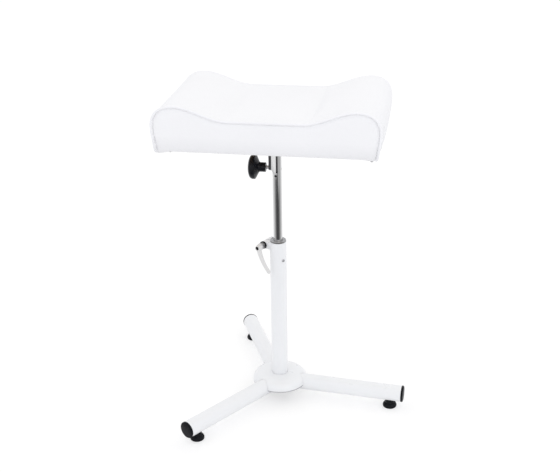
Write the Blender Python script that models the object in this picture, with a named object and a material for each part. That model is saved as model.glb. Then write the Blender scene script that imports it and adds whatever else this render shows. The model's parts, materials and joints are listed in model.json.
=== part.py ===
"""Pedicure footrest: a saddle cushion that tilts on a clamped post, on a column with three legs.

Heights are measured from the floor and places from the column's axis. The front of the footrest faces -Y.
The column stands where column_place() says, so that the origin lies under the middle of the whole object.
"""
import math

import bmesh
import bpy
from mathutils import Matrix, Vector

MM = 0.001

# Fits
SEAT_GAP = 0.3 * MM
RUN_GAP = 0.25 * MM
EDGE_BREAK = 0.6 * MM
LEAD_IN = 1 * MM
CUT_PAST = 1 * MM
HEAD_FLAT_SHARE = 0.7

# Tube of the legs and the column
TUBE_DIAMETER = 30 * MM
TUBE_WALL = 2 * MM

# Legs, caps and glides
LEG_REACH = 237 * MM
LEG_ANGLES = {"front_left": 235.6, "right": 355.6, "rear": 115.6}
CAP_FLANGE = 2 * MM
CAP_PLUG_LENGTH = 16 * MM
GLIDE_HEIGHT = 14.5 * MM
GLIDE_DIAMETER = 26 * MM
GLIDE_EDGE_HEIGHT = 4 * MM
GLIDE_COLLAR_DIAMETER = 17 * MM
GLIDE_FROM_PLUG = 1.7 * MM
STEM_DIAMETER = 8 * MM
STEM_IN_PAD = 9 * MM
STEM_IN_LEG = 10 * MM

# Hub
HUB_DIAMETER = 102 * MM
HUB_SHEET = 2 * MM
HUB_FLAT_DIAMETER = 56 * MM
HUB_SHOULDER_DROP = 14 * MM
HUB_SKIRT = 4 * MM
HUB_ROOF_GAP = 0.5 * MM
CORE_WALL = 6.7 * MM
CORE_FLOOR = 5.5 * MM
BASE_BOLT_DIAMETER = 8 * MM
BASE_BOLT_FLATS = 13 * MM
BASE_BOLT_HEAD = 5.3 * MM
BASE_WASHER_DIAMETER = 17 * MM
BASE_WASHER_THICKNESS = 1.6 * MM
FOOT_PLUG_LENGTH = 16 * MM

# Column, guide bush and its screw
COLUMN_TOP = 320 * MM
BUSH_LENGTH = 48 * MM
BUSH_FLANGE = 2.4 * MM
BUSH_FLANGE_STEP = 0.5 * MM
BUSH_SCREW_DROP = 34 * MM
BUSH_SCREW_ANGLE = 317
BUSH_SCREW_DIAMETER = 3.6 * MM
BUSH_SCREW_HEAD = 5.6 * MM
BUSH_SCREW_HEAD_HEIGHT = 1.6 * MM

# Height clamp: a slit in the column, two lugs, a screw across them and a lever on the screw
CLAMP_ANGLE = 155
CLAMP_DROP = 9.4 * MM
CLAMP_STANDOFF = 9 * MM
SLIT_WIDTH = 1.6 * MM
SLIT_DEPTH = 36 * MM
LUG_RADIUS = 6.5 * MM
LUG_THICKNESS = 10.7 * MM
CLAMP_SCREW_DIAMETER = 6 * MM
CLAMP_NUT_FLATS = 10 * MM
CLAMP_NUT_THICKNESS = 5 * MM
CLAMP_SCREW_TAIL = 1.5 * MM
RING_DIAMETER = 14 * MM
RING_THICKNESS = 1.8 * MM
INSERT_COLLAR_DIAMETER = 12 * MM
INSERT_COLLAR = 2 * MM
INSERT_NECK_DIAMETER = 9 * MM
INSERT_NECK = 4.3 * MM
INSERT_GRIP = 2.1 * MM
LEVER_HUB_LENGTH = 11.5 * MM
LEVER_HUB_DIAMETER = 13 * MM
LEVER_TIP_DIAMETER = 9.4 * MM
LEVER_WEB = 0.9 * MM
LEVER_POCKET_DIAMETER = 6.8 * MM
LEVER_SCREW_DIAMETER = 2.4 * MM
LEVER_SCREW_HEAD_HEIGHT = 1.8 * MM
LEVER_SCREW_BITE = 5 * MM
LEVER_ARM_SHIFT = 0.5 * MM
LEVER_DROP = 43 * MM
LEVER_SWEEP = 21 * MM
LEVER_LEAN = 0.12
LEVER_ROOT_WIDTH = 11.5 * MM
LEVER_END_WIDTH = 7.4 * MM
LEVER_ROOT_DEPTH = 7 * MM
LEVER_END_DEPTH = 6 * MM
SPRING_WIRE = 0.6 * MM
SPRING_TURNS = 5

# Post and its guide plug
POST_DIAMETER = 16 * MM
POST_RAISE = 90 * MM
GUIDE_LENGTH = 20 * MM
GUIDE_SPIGOT_DIAMETER = 8 * MM
GUIDE_WASHER_DIAMETER = 15 * MM
GUIDE_WASHER_THICKNESS = 1.5 * MM
GUIDE_SCREW_DIAMETER = 4 * MM
GUIDE_SCREW_HEAD = 7 * MM
GUIDE_SCREW_HEAD_HEIGHT = 2.6 * MM
GUIDE_SCREW_BITE = 12 * MM

# Tilt head: a fork on the post, two bracket plates, a stud and its knob
TILT_OVER_COLUMN = 141 * MM
FORK_RISE = 27 * MM
FORK_CHEEK_STEP = 1 * MM
FORK_CHEEK_DEPTH = 14.5 * MM
FORK_CHEEK_DROP = 9 * MM
FORK_CHAMFER_WIDTH = 3.8 * MM
FORK_CHAMFER_HEIGHT = 7 * MM
FORK_HOLE_DIAMETER = 4.6 * MM
FORK_HOLE_DROP = 13 * MM
FORK_HOLE_SIDE = 1.2 * MM
TONGUE_THICKNESS = 2.4 * MM
TONGUE_SIDE = 1 * MM
TONGUE_END_RADIUS = 7 * MM
TONGUE_TOP_WIDTH = 40 * MM
EAR_THICKNESS = 4.9 * MM
EAR_END_RADIUS = 4.8 * MM
EAR_TOP_WIDTH = 34 * MM
BRACKET_FLARE = 27 * MM
BRACKET_LAND = 4 * MM
STUD_DIAMETER = 5 * MM
STUD_SHOULDER_DIAMETER = 6.4 * MM
STUD_SHOULDER = 5.2 * MM
STUD_IN_KNOB = 20 * MM
STUD_SHORT = 0.5 * MM
KNOB_DIAMETER = 44 * MM
KNOB_COLLAR_DIAMETER = 16 * MM
KNOB_COLLAR = 12 * MM
KNOB_CONE = 5.5 * MM
KNOB_RIM = 6.8 * MM
KNOB_DOME = 7 * MM
KNOB_RIM_ROUND = 1.5 * MM

# Seat board, mounting plate and screws
PLATE_WIDTH = 90 * MM
PLATE_DEPTH = 70 * MM
PLATE_THICKNESS = 3 * MM
PLATE_SCREW_INSET = 11 * MM
PLATE_SCREW_DIAMETER = 4.4 * MM
PLATE_SCREW_HEAD = 8.4 * MM
PLATE_SCREW_HEAD_HEIGHT = 2.6 * MM
PLATE_SCREW_BITE = 9 * MM
PLATE_SCREW_POINT = 2 * MM
BOARD_THICKNESS = 12 * MM
BOARD_MARGIN_SIDE = 16.5 * MM
BOARD_MARGIN_FRONT = 9 * MM

# Cushion and piping
CUSHION_OVER_TILT = 63 * MM
CUSHION_WIDTH = 377 * MM
CUSHION_DEPTH = 224 * MM
CUSHION_DRAW_IN = 5 * MM
CUSHION_BOTTOM_ROUND = 5 * MM
SIDE_HEIGHT = 42 * MM
TROUGH_HEIGHT = 53 * MM
HUMP_HEIGHT = 75.4 * MM
HUMP_FROM_SIDE = 38.5 * MM
TROUGH_FLAT_WIDTH = 124 * MM
HUMP_FULLNESS = 2.3
CROWN = 2 * MM
FACE_BULGE = 2 * MM
PIPING_DIAMETER = 3.8 * MM
SEAM_CHAMFER = 4.6 * MM

ROUND_SEGMENTS = 36
SMALL_SEGMENTS = 16
FINE_SEGMENTS = 48
SHARP_ANGLE = math.radians(35)

# Worked out from the sizes above
TUBE_RADIUS = TUBE_DIAMETER / 2
BORE_RADIUS = TUBE_RADIUS - TUBE_WALL
LEG_AXIS = GLIDE_HEIGHT + TUBE_RADIUS
LEG_END = LEG_REACH - CAP_FLANGE - SEAT_GAP
GLIDE_REACH = LEG_END - CAP_PLUG_LENGTH - GLIDE_FROM_PLUG - STEM_DIAMETER / 2
CORE_BOTTOM = LEG_AXIS - TUBE_RADIUS
CORE_RADIUS = TUBE_RADIUS + SEAT_GAP + CORE_WALL
HUB_INSIDE_TOP = LEG_AXIS + TUBE_RADIUS + HUB_ROOF_GAP
HUB_TOP = HUB_INSIDE_TOP + HUB_SHEET
COLUMN_BOTTOM = CORE_BOTTOM + CORE_FLOOR + SEAT_GAP
BUSH_TOP = COLUMN_TOP + SEAT_GAP + BUSH_FLANGE
BUSH_BOTTOM = COLUMN_TOP + SEAT_GAP - BUSH_LENGTH
BUSH_RADIUS = BORE_RADIUS - SEAT_GAP
CLAMP_OFFSET = TUBE_RADIUS + CLAMP_STANDOFF
LUG_START = SLIT_WIDTH / 2
LUG_END = LUG_START + LUG_THICKNESS
RING_START = LUG_END + SEAT_GAP
INSERT_START = RING_START + RING_THICKNESS + SEAT_GAP
NECK_END = INSERT_START + INSERT_COLLAR + INSERT_NECK
LEVER_START = NECK_END + SEAT_GAP
GRIP_END = LEVER_START + INSERT_GRIP
LEVER_TIP = LEVER_START + LEVER_HUB_LENGTH
LEVER_WEB_START = GRIP_END + SEAT_GAP
SPRING_START = LEVER_WEB_START + LEVER_WEB + SEAT_GAP
LEVER_HEAD_START = LEVER_TIP - LEVER_SCREW_HEAD_HEIGHT
POST_RADIUS = POST_DIAMETER / 2
BUSH_BORE = POST_RADIUS + RUN_GAP
GUIDE_TOP = BUSH_BOTTOM - POST_RAISE - SEAT_GAP
GUIDE_BOTTOM = GUIDE_TOP - GUIDE_LENGTH
TILT_HEIGHT = COLUMN_TOP + TILT_OVER_COLUMN
CUSHION_BOTTOM = TILT_HEIGHT + CUSHION_OVER_TILT
FORK_CHEEK_FACE = POST_RADIUS + FORK_CHEEK_STEP
SLOT_WIDTH = TONGUE_THICKNESS + 2 * SEAT_GAP
STUD_HOLE_RADIUS = STUD_DIAMETER / 2 + RUN_GAP
EAR_FACE = FORK_CHEEK_FACE + SEAT_GAP + EAR_THICKNESS
KNOB_START = EAR_FACE + SEAT_GAP + STUD_SHOULDER
PLATE_TOP = CUSHION_BOTTOM - SEAT_GAP
PLATE_BOTTOM = PLATE_TOP - PLATE_THICKNESS
BRACKET_TOP = PLATE_BOTTOM - SEAT_GAP
HALF_WIDTH = CUSHION_WIDTH / 2
HALF_DEPTH = CUSHION_DEPTH / 2
HUMP_PLACE = HALF_WIDTH - HUMP_FROM_SIDE


def column_place():
    """Where the column stands, so that the origin is under the middle of the object's outline."""
    reach_x = [-HALF_WIDTH - CROWN, HALF_WIDTH + CROWN]
    reach_y = [-HALF_DEPTH - FACE_BULGE, HALF_DEPTH + FACE_BULGE]
    for degrees in LEG_ANGLES.values():
        angle = math.radians(degrees)
        reach_x += [LEG_REACH * math.cos(angle) + side * TUBE_RADIUS * math.sin(angle) for side in (-1, 1)]
        reach_y += [LEG_REACH * math.sin(angle) + side * TUBE_RADIUS * math.cos(angle) for side in (-1, 1)]
    return Vector((-(min(reach_x) + max(reach_x)) / 2, -(min(reach_y) + max(reach_y)) / 2, 0))


# Tools


def clear_scene():
    for thing in list(bpy.data.objects):
        bpy.data.objects.remove(thing, do_unlink=True)


def make_material(name, colour, metallic, roughness):
    material = bpy.data.materials.new(name)
    material.use_nodes = True
    shader = material.node_tree.nodes["Principled BSDF"]
    shader.inputs["Base Color"].default_value = (*colour, 1)
    shader.inputs["Metallic"].default_value = metallic
    shader.inputs["Roughness"].default_value = roughness
    material.diffuse_color = (*colour, 1)
    return material


def make_frame(name, parent=None, matrix=None):
    """An empty that carries the pieces of one group."""
    frame = bpy.data.objects.new(name, None)
    frame.empty_display_size = 0.02
    bpy.context.collection.objects.link(frame)
    frame.parent = parent
    frame.matrix_local = matrix or Matrix.Identity(4)
    return frame


def make_piece(name, bm, material, parent, matrix=None):
    """Turns a bmesh into a named object under its frame, round faces smooth and real edges sharp."""
    bmesh.ops.remove_doubles(bm, verts=bm.verts, dist=1e-7)
    bmesh.ops.recalc_face_normals(bm, faces=bm.faces)
    for face in bm.faces:
        face.smooth = True
    for edge in bm.edges:
        if edge.is_manifold and edge.calc_face_angle() > SHARP_ANGLE:
            edge.smooth = False
    mesh = bpy.data.meshes.new(name)
    bm.to_mesh(mesh)
    bm.free()
    if material:
        mesh.materials.append(material)
    piece = bpy.data.objects.new(name, mesh)
    bpy.context.collection.objects.link(piece)
    piece.parent = parent
    piece.matrix_local = matrix or Matrix.Identity(4)
    return piece


def apply_tool(target, tool, operation="DIFFERENCE"):
    modifier = target.modifiers.new(tool.name, "BOOLEAN")
    modifier.operation = operation
    modifier.solver = "EXACT"
    modifier.object = tool
    tool.hide_render = True
    tool.display_type = "WIRE"


def lathe(profile, segments=ROUND_SEGMENTS):
    """Spins a closed outline of (radius, height) points about Z."""
    bm = bmesh.new()
    corners = [bm.verts.new((radius, 0, height)) for radius, height in profile]
    edges = []
    for first, second in zip(corners, corners[1:] + corners[:1]):
        if first.co.x > 0 or second.co.x > 0:
            edges.append(bm.edges.new((first, second)))
    turn = {"cent": (0, 0, 0), "axis": (0, 0, 1), "angle": 2 * math.pi, "steps": segments, "use_merge": True}
    bmesh.ops.spin(bm, geom=corners + edges, **turn)
    bmesh.ops.remove_doubles(bm, verts=bm.verts, dist=1e-7)
    loose = [vert for vert in bm.verts if not vert.link_faces]
    bmesh.ops.delete(bm, geom=loose, context="VERTS")
    return bm


def rod(radius, start, end, segments=SMALL_SEGMENTS):
    return lathe([(0, start), (radius, start), (radius, end), (0, end)], segments)


def sleeve(inner, outer, start, end, segments=ROUND_SEGMENTS):
    return lathe([(inner, start), (outer, start), (outer, end), (inner, end)], segments)


def prism(outline, start, end):
    """Extrudes a closed outline of (x, y) points along Z."""
    bm = bmesh.new()
    face = bm.faces.new([bm.verts.new((x, y, start)) for x, y in outline])
    raised = bmesh.ops.extrude_face_region(bm, geom=[face])["geom"]
    moved = [item for item in raised if isinstance(item, bmesh.types.BMVert)]
    bmesh.ops.translate(bm, verts=moved, vec=(0, 0, end - start))
    return bm


def box(low, high):
    outline = [(low[0], low[1]), (high[0], low[1]), (high[0], high[1]), (low[0], high[1])]
    return prism(outline, low[2], high[2])


def arc(centre, radius, start, end, steps):
    """Points of a circular arc, angles in degrees."""
    points = []
    for step in range(steps + 1):
        angle = math.radians(start + (end - start) * step / steps)
        points.append((centre[0] + radius * math.cos(angle), centre[1] + radius * math.sin(angle)))
    return points


def hexagon(flats):
    return arc((0, 0), flats / math.sqrt(3), 0, 300, 5)


def join_rings(rings):
    """Skins a list of rings of points and closes both ends with a flat face."""
    bm = bmesh.new()
    loops = [[bm.verts.new(point) for point in ring] for ring in rings]
    for lower, upper in zip(loops, loops[1:]):
        for index in range(len(lower)):
            following = (index + 1) % len(lower)
            bm.faces.new((lower[index], lower[following], upper[following], upper[index]))
    bm.faces.new(loops[0][::-1])
    bm.faces.new(loops[-1])
    return bm


def sweep(points, radius, sides):
    """A round tube along a line of points, with closed ends."""
    rings = []
    across = None
    for index, point in enumerate(points):
        ahead = Vector(points[min(index + 1, len(points) - 1)])
        behind = Vector(points[max(index - 1, 0)])
        along = (ahead - behind).normalized()
        if across is None:
            across = along.orthogonal().normalized()
        across = (across - along * across.dot(along)).normalized()
        other = along.cross(across)
        ring = []
        for side in range(sides):
            turn = 2 * math.pi * side / sides
            ring.append(Vector(point) + radius * (math.cos(turn) * across + math.sin(turn) * other))
        rings.append(ring)
    return join_rings(rings)


def least_gap(points, diameter, skip):
    """The least clear distance between turns of a coil, measured on its points."""
    least = math.inf
    for index, point in enumerate(points):
        for other in points[index + skip:]:
            least = min(least, (Vector(point) - Vector(other)).length - diameter)
    return least


def turned(x=0, y=0, z=0, place=(0, 0, 0)):
    """A placing matrix from turns in degrees and a place."""
    spin = Matrix.Rotation(math.radians(z), 4, "Z")
    spin = spin @ Matrix.Rotation(math.radians(y), 4, "Y")
    spin = spin @ Matrix.Rotation(math.radians(x), 4, "X")
    return Matrix.Translation(Vector(place)) @ spin


# Materials


def make_materials():
    return {
        "white_paint": make_material("white_paint", (0.86, 0.87, 0.88), 0, 0.35),
        "black_plastic": make_material("black_plastic", (0.02, 0.02, 0.022), 0, 0.45),
        "knob_plastic": make_material("knob_plastic", (0.015, 0.015, 0.018), 0, 0.35),
        "chrome": make_material("chrome", (0.72, 0.72, 0.72), 1, 0.08),
        "satin_metal": make_material("satin_metal", (0.5, 0.5, 0.52), 1, 0.3),
        "zinc_steel": make_material("zinc_steel", (0.6, 0.6, 0.62), 1, 0.35),
        "dark_steel": make_material("dark_steel", (0.05, 0.05, 0.055), 0.4, 0.4),
        "plywood": make_material("plywood", (0.62, 0.47, 0.3), 0, 0.6),
        "white_vinyl": make_material("white_vinyl", (0.9, 0.9, 0.91), 0, 0.42),
        "piping_vinyl": make_material("piping_vinyl", (0.84, 0.84, 0.86), 0, 0.45),
    }


# Base: legs, caps, glides and hub


def leg_frame(root, name):
    """A frame on the leg's axis, its Z pointing outwards along the leg and its X up."""
    angle = LEG_ANGLES[name]
    return make_frame(f"leg_axis_{name}", root, turned(y=-90, z=angle + 180, place=(0, 0, LEG_AXIS)))


def build_leg(root, name, look):
    axis = leg_frame(root, name)
    tube = sleeve(BORE_RADIUS, TUBE_RADIUS, CORE_RADIUS / 2, LEG_END)
    leg = make_piece(f"leg_{name}", tube, look["white_paint"], axis)
    mouth = rod(CORE_RADIUS + SEAT_GAP, -TUBE_DIAMETER, TUBE_DIAMETER, ROUND_SEGMENTS)
    apply_tool(leg, make_piece(f"leg_mouth_{name}", mouth, None, axis, turned(y=90)))
    plug_radius = BORE_RADIUS - SEAT_GAP
    plug_end = LEG_END - CAP_PLUG_LENGTH
    cap_profile = [
        (0, plug_end),
        (plug_radius - LEAD_IN, plug_end),
        (plug_radius, plug_end + 2 * LEAD_IN),
        (plug_radius, LEG_END + SEAT_GAP),
        (TUBE_RADIUS, LEG_END + SEAT_GAP),
        (TUBE_RADIUS, LEG_REACH - EDGE_BREAK),
        (TUBE_RADIUS - EDGE_BREAK, LEG_REACH),
        (0, LEG_REACH),
    ]
    make_piece(f"leg_cap_{name}", lathe(cap_profile), look["black_plastic"], axis)
    foot_place = turned(z=LEG_ANGLES[name]) @ turned(place=(GLIDE_REACH, 0, 0))
    foot = make_frame(f"glide_axis_{name}", root, foot_place)
    stem_radius = STEM_DIAMETER / 2
    stem_start = GLIDE_HEIGHT - STEM_IN_PAD
    collar = GLIDE_COLLAR_DIAMETER / 2
    pad_radius = GLIDE_DIAMETER / 2
    shoulder = pad_radius - collar
    pad_profile = [(0, 0), (pad_radius - LEAD_IN, 0), (pad_radius, LEAD_IN)]
    pad_profile += arc((collar, GLIDE_EDGE_HEIGHT), shoulder, 0, 90, 4)
    pad_profile += [
        (collar, GLIDE_HEIGHT - SEAT_GAP),
        (stem_radius + SEAT_GAP, GLIDE_HEIGHT - SEAT_GAP),
        (stem_radius + SEAT_GAP, stem_start - SEAT_GAP),
        (0, stem_start - SEAT_GAP),
    ]
    make_piece(f"glide_{name}", lathe(pad_profile, 28), look["black_plastic"], foot)
    stem = rod(stem_radius, stem_start, GLIDE_HEIGHT + STEM_IN_LEG)
    make_piece(f"glide_stem_{name}", stem, look["zinc_steel"], foot)
    apply_tool(leg, make_piece(f"glide_hole_{name}", rod(stem_radius + SEAT_GAP, 0, LEG_AXIS), None, foot))


def hub_cover_profile():
    """The pressed cover's section: flat top, elliptical shoulder, short skirt, all of one sheet."""
    flat = HUB_FLAT_DIAMETER / 2
    reach = HUB_DIAMETER / 2 - flat
    eye = TUBE_RADIUS + SEAT_GAP
    shoulder_foot = HUB_TOP - HUB_SHOULDER_DROP
    outer = [(flat + reach * x, shoulder_foot + HUB_SHOULDER_DROP * y) for x, y in arc((0, 0), 1, 90, 0, 6)]
    inner = [
        (flat + (reach - HUB_SHEET) * x, shoulder_foot + (HUB_SHOULDER_DROP - HUB_SHEET) * y)
        for x, y in arc((0, 0), 1, 0, 90, 6)
    ]
    rim = shoulder_foot - HUB_SKIRT
    skirt = [(outer[-1][0], rim), (inner[0][0], rim)]
    return [(eye, HUB_INSIDE_TOP), (eye, HUB_TOP), *outer, *skirt, *inner]


def build_hub(root, look):
    cover = make_piece("hub_cover", lathe(hub_cover_profile(), FINE_SEGMENTS), look["white_paint"], root)
    for name, angle in LEG_ANGLES.items():
        notch = rod(TUBE_RADIUS + SEAT_GAP, CORE_RADIUS, HUB_DIAMETER, ROUND_SEGMENTS)
        along_leg = turned(y=-90, z=angle + 180, place=(0, 0, LEG_AXIS))
        apply_tool(cover, make_piece(f"hub_notch_{name}", notch, None, root, along_leg))
    core_top = HUB_INSIDE_TOP - SEAT_GAP
    bolt_hole = BASE_BOLT_DIAMETER / 2 + SEAT_GAP
    core_profile = [
        (bolt_hole, CORE_BOTTOM),
        (CORE_RADIUS, CORE_BOTTOM),
        (CORE_RADIUS, core_top),
        (TUBE_RADIUS + SEAT_GAP, core_top),
        (TUBE_RADIUS + SEAT_GAP, CORE_BOTTOM + CORE_FLOOR),
        (bolt_hole, CORE_BOTTOM + CORE_FLOOR),
    ]
    make_piece("hub_core", lathe(core_profile), look["white_paint"], root)
    plug_top = COLUMN_BOTTOM + FOOT_PLUG_LENGTH
    plug = sleeve(bolt_hole, BORE_RADIUS - SEAT_GAP, COLUMN_BOTTOM, plug_top)
    make_piece("column_foot_plug", plug, look["zinc_steel"], root)
    washer_top = CORE_BOTTOM - SEAT_GAP
    washer_bottom = washer_top - BASE_WASHER_THICKNESS
    washer = sleeve(bolt_hole, BASE_WASHER_DIAMETER / 2, washer_bottom, washer_top, SMALL_SEGMENTS)
    make_piece("base_washer", washer, look["zinc_steel"], root)
    head_top = washer_bottom - SEAT_GAP
    head = prism(hexagon(BASE_BOLT_FLATS), head_top - BASE_BOLT_HEAD, head_top)
    bolt = make_piece("base_bolt", head, look["zinc_steel"], root)
    shank = rod(BASE_BOLT_DIAMETER / 2, head_top - BASE_BOLT_HEAD / 2, plug_top - LEAD_IN)
    apply_tool(bolt, make_piece("base_bolt_shank", shank, None, root), "UNION")


# Column and guide bush


def build_column(root, look):
    tube = sleeve(BORE_RADIUS, TUBE_RADIUS, COLUMN_BOTTOM, COLUMN_TOP)
    column = make_piece("column", tube, look["white_paint"], root)
    flange_radius = TUBE_RADIUS - BUSH_FLANGE_STEP
    flange_bottom = COLUMN_TOP + SEAT_GAP
    bush_profile = [
        (BUSH_BORE, BUSH_BOTTOM),
        (BUSH_RADIUS, BUSH_BOTTOM),
        (BUSH_RADIUS, flange_bottom),
        (flange_radius, flange_bottom),
        (flange_radius, BUSH_TOP - EDGE_BREAK),
        (flange_radius - EDGE_BREAK, BUSH_TOP),
        (BUSH_BORE + EDGE_BREAK, BUSH_TOP),
        (BUSH_BORE, BUSH_TOP - EDGE_BREAK),
    ]
    bush = make_piece("guide_bush", lathe(bush_profile), look["satin_metal"], root)
    half_slit = SLIT_WIDTH / 2
    for piece, low in ((column, COLUMN_TOP - SLIT_DEPTH), (bush, BUSH_BOTTOM - CUT_PAST)):
        slit = box((0, -half_slit, low), (TUBE_DIAMETER, half_slit, BUSH_TOP + CUT_PAST))
        apply_tool(piece, make_piece(f"{piece.name}_slit", slit, None, root, turned(z=CLAMP_ANGLE)))
    screw_place = turned(y=90, z=BUSH_SCREW_ANGLE, place=(0, 0, COLUMN_TOP - BUSH_SCREW_DROP))
    screw_frame = make_frame("bush_screw_axis", root, screw_place)
    shank = BUSH_SCREW_DIAMETER / 2
    seat = TUBE_RADIUS + SEAT_GAP
    tip = (BUSH_BORE + BUSH_RADIUS) / 2
    head = BUSH_SCREW_HEAD / 2
    screw_profile = [
        (0, tip),
        (shank, tip),
        (shank, seat),
        (head, seat),
        (head, seat + BUSH_SCREW_HEAD_HEIGHT / 2),
        (head * HEAD_FLAT_SHARE, seat + BUSH_SCREW_HEAD_HEIGHT),
        (0, seat + BUSH_SCREW_HEAD_HEIGHT),
    ]
    make_piece("bush_screw", lathe(screw_profile, SMALL_SEGMENTS), look["zinc_steel"], screw_frame)
    hole_form = rod(shank + SEAT_GAP, tip - SEAT_GAP, TUBE_DIAMETER)
    hole = make_piece("bush_screw_hole", hole_form, None, screw_frame)
    apply_tool(column, hole)
    apply_tool(bush, hole)


# Height clamp


def clamp_frame(root):
    """A frame on the clamp screw's axis: X points away from the column, Y down and Z towards the lever."""
    outward = Vector((math.cos(math.radians(CLAMP_ANGLE)), math.sin(math.radians(CLAMP_ANGLE)), 0))
    down = Vector((0, 0, -1))
    along = outward.cross(down)
    matrix = Matrix((outward, down, along)).transposed().to_4x4()
    matrix.translation = outward * CLAMP_OFFSET + Vector((0, 0, COLUMN_TOP - CLAMP_DROP))
    return make_frame("clamp_axis", root, matrix)


def build_lugs(axis, look):
    rounded = arc((0, 0), LUG_RADIUS, -90, 90, 12)
    root_reach = -CLAMP_OFFSET + BORE_RADIUS / 2
    outline = [*rounded, (root_reach, LUG_RADIUS), (root_reach, -LUG_RADIUS)]
    hole_radius = CLAMP_SCREW_DIAMETER / 2 + RUN_GAP
    for name, start, end in (("front", LUG_START, LUG_END), ("rear", -LUG_END, -LUG_START)):
        lug = make_piece(f"clamp_lug_{name}", prism(outline, start, end), look["white_paint"], axis)
        seat = rod(TUBE_RADIUS + SEAT_GAP, -2 * LUG_RADIUS, 2 * LUG_RADIUS, FINE_SEGMENTS)
        on_column = turned(x=90, place=(-CLAMP_OFFSET, 0, 0))
        apply_tool(lug, make_piece(f"lug_seat_{name}", seat, None, axis, on_column))
        hole = rod(hole_radius, start - CUT_PAST, end + CUT_PAST)
        apply_tool(lug, make_piece(f"lug_hole_{name}", hole, None, axis))
    nut_end = -LUG_END - SEAT_GAP
    nut_start = nut_end - CLAMP_NUT_THICKNESS
    nut_form = prism(hexagon(CLAMP_NUT_FLATS), nut_start, nut_end)
    nut = make_piece("clamp_nut", nut_form, look["zinc_steel"], axis)
    nut_hole = rod(hole_radius, nut_start - CUT_PAST, nut_end + CUT_PAST)
    apply_tool(nut, make_piece("clamp_nut_hole", nut_hole, None, axis))


def build_clamp_screw(axis, look):
    shank = CLAMP_SCREW_DIAMETER / 2
    ring = sleeve(shank + RUN_GAP, RING_DIAMETER / 2, RING_START, RING_START + RING_THICKNESS, 28)
    make_piece("clamp_ring", ring, look["black_plastic"], axis)
    tail = -LUG_END - SEAT_GAP - CLAMP_NUT_THICKNESS - CLAMP_SCREW_TAIL
    collar = INSERT_COLLAR_DIAMETER / 2
    neck = INSERT_NECK_DIAMETER / 2
    bore = LEVER_SCREW_DIAMETER / 2 + SEAT_GAP
    bore_end = GRIP_END - LEVER_SCREW_BITE - SEAT_GAP
    profile = [
        (0, tail),
        (shank, tail),
        (shank, INSERT_START),
        (collar, INSERT_START),
        (collar, INSERT_START + INSERT_COLLAR),
        (neck, INSERT_START + INSERT_COLLAR),
        (neck, GRIP_END),
        (bore, GRIP_END),
        (bore, bore_end),
        (0, bore_end),
    ]
    make_piece("clamp_screw", lathe(profile, 24), look["satin_metal"], axis)
    screw = LEVER_SCREW_DIAMETER / 2
    head = LEVER_POCKET_DIAMETER / 2 - SEAT_GAP
    screw_profile = [
        (0, GRIP_END - LEVER_SCREW_BITE),
        (screw, GRIP_END - LEVER_SCREW_BITE),
        (screw, LEVER_HEAD_START),
        (head, LEVER_HEAD_START),
        (head, LEVER_TIP - EDGE_BREAK),
        (head - EDGE_BREAK, LEVER_TIP),
        (0, LEVER_TIP),
    ]
    make_piece("lever_screw", lathe(screw_profile, SMALL_SEGMENTS), look["black_plastic"], axis)


def lever_arm_rings():
    """Oval rings along the bowed arm, rounded off at its end."""
    middle = (LEVER_START + LEVER_TIP) / 2 + LEVER_ARM_SHIFT
    bow = LEVER_SWEEP - LEVER_LEAN * LEVER_DROP
    rings = []
    steps = 12
    for step in range(steps + 1):
        share = min(step / (steps - 2), 1)
        tip = max(step - (steps - 2), 0) / 2
        width = LEVER_ROOT_WIDTH + (LEVER_END_WIDTH - LEVER_ROOT_WIDTH) * math.sin(share * math.pi / 2)
        depth = LEVER_ROOT_DEPTH + (LEVER_END_DEPTH - LEVER_ROOT_DEPTH) * share
        shrink = math.sqrt(1 - (0.9 * tip) ** 2)
        drop = LEVER_DROP * share + tip * 0.4 * LEVER_END_WIDTH
        side = -(LEVER_LEAN * drop + bow * (drop / LEVER_DROP) ** 2)
        slope = -(LEVER_LEAN + 2 * bow * drop / LEVER_DROP ** 2)
        across = Vector((1, -slope, 0)).normalized()
        centre = Vector((side, drop, middle))
        ring = []
        for corner in range(16):
            turn = 2 * math.pi * corner / 16
            offset = across * (width / 2 * math.cos(turn)) + Vector((0, 0, depth / 2 * math.sin(turn)))
            ring.append(centre + offset * shrink)
        rings.append(ring)
    return rings


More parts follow.
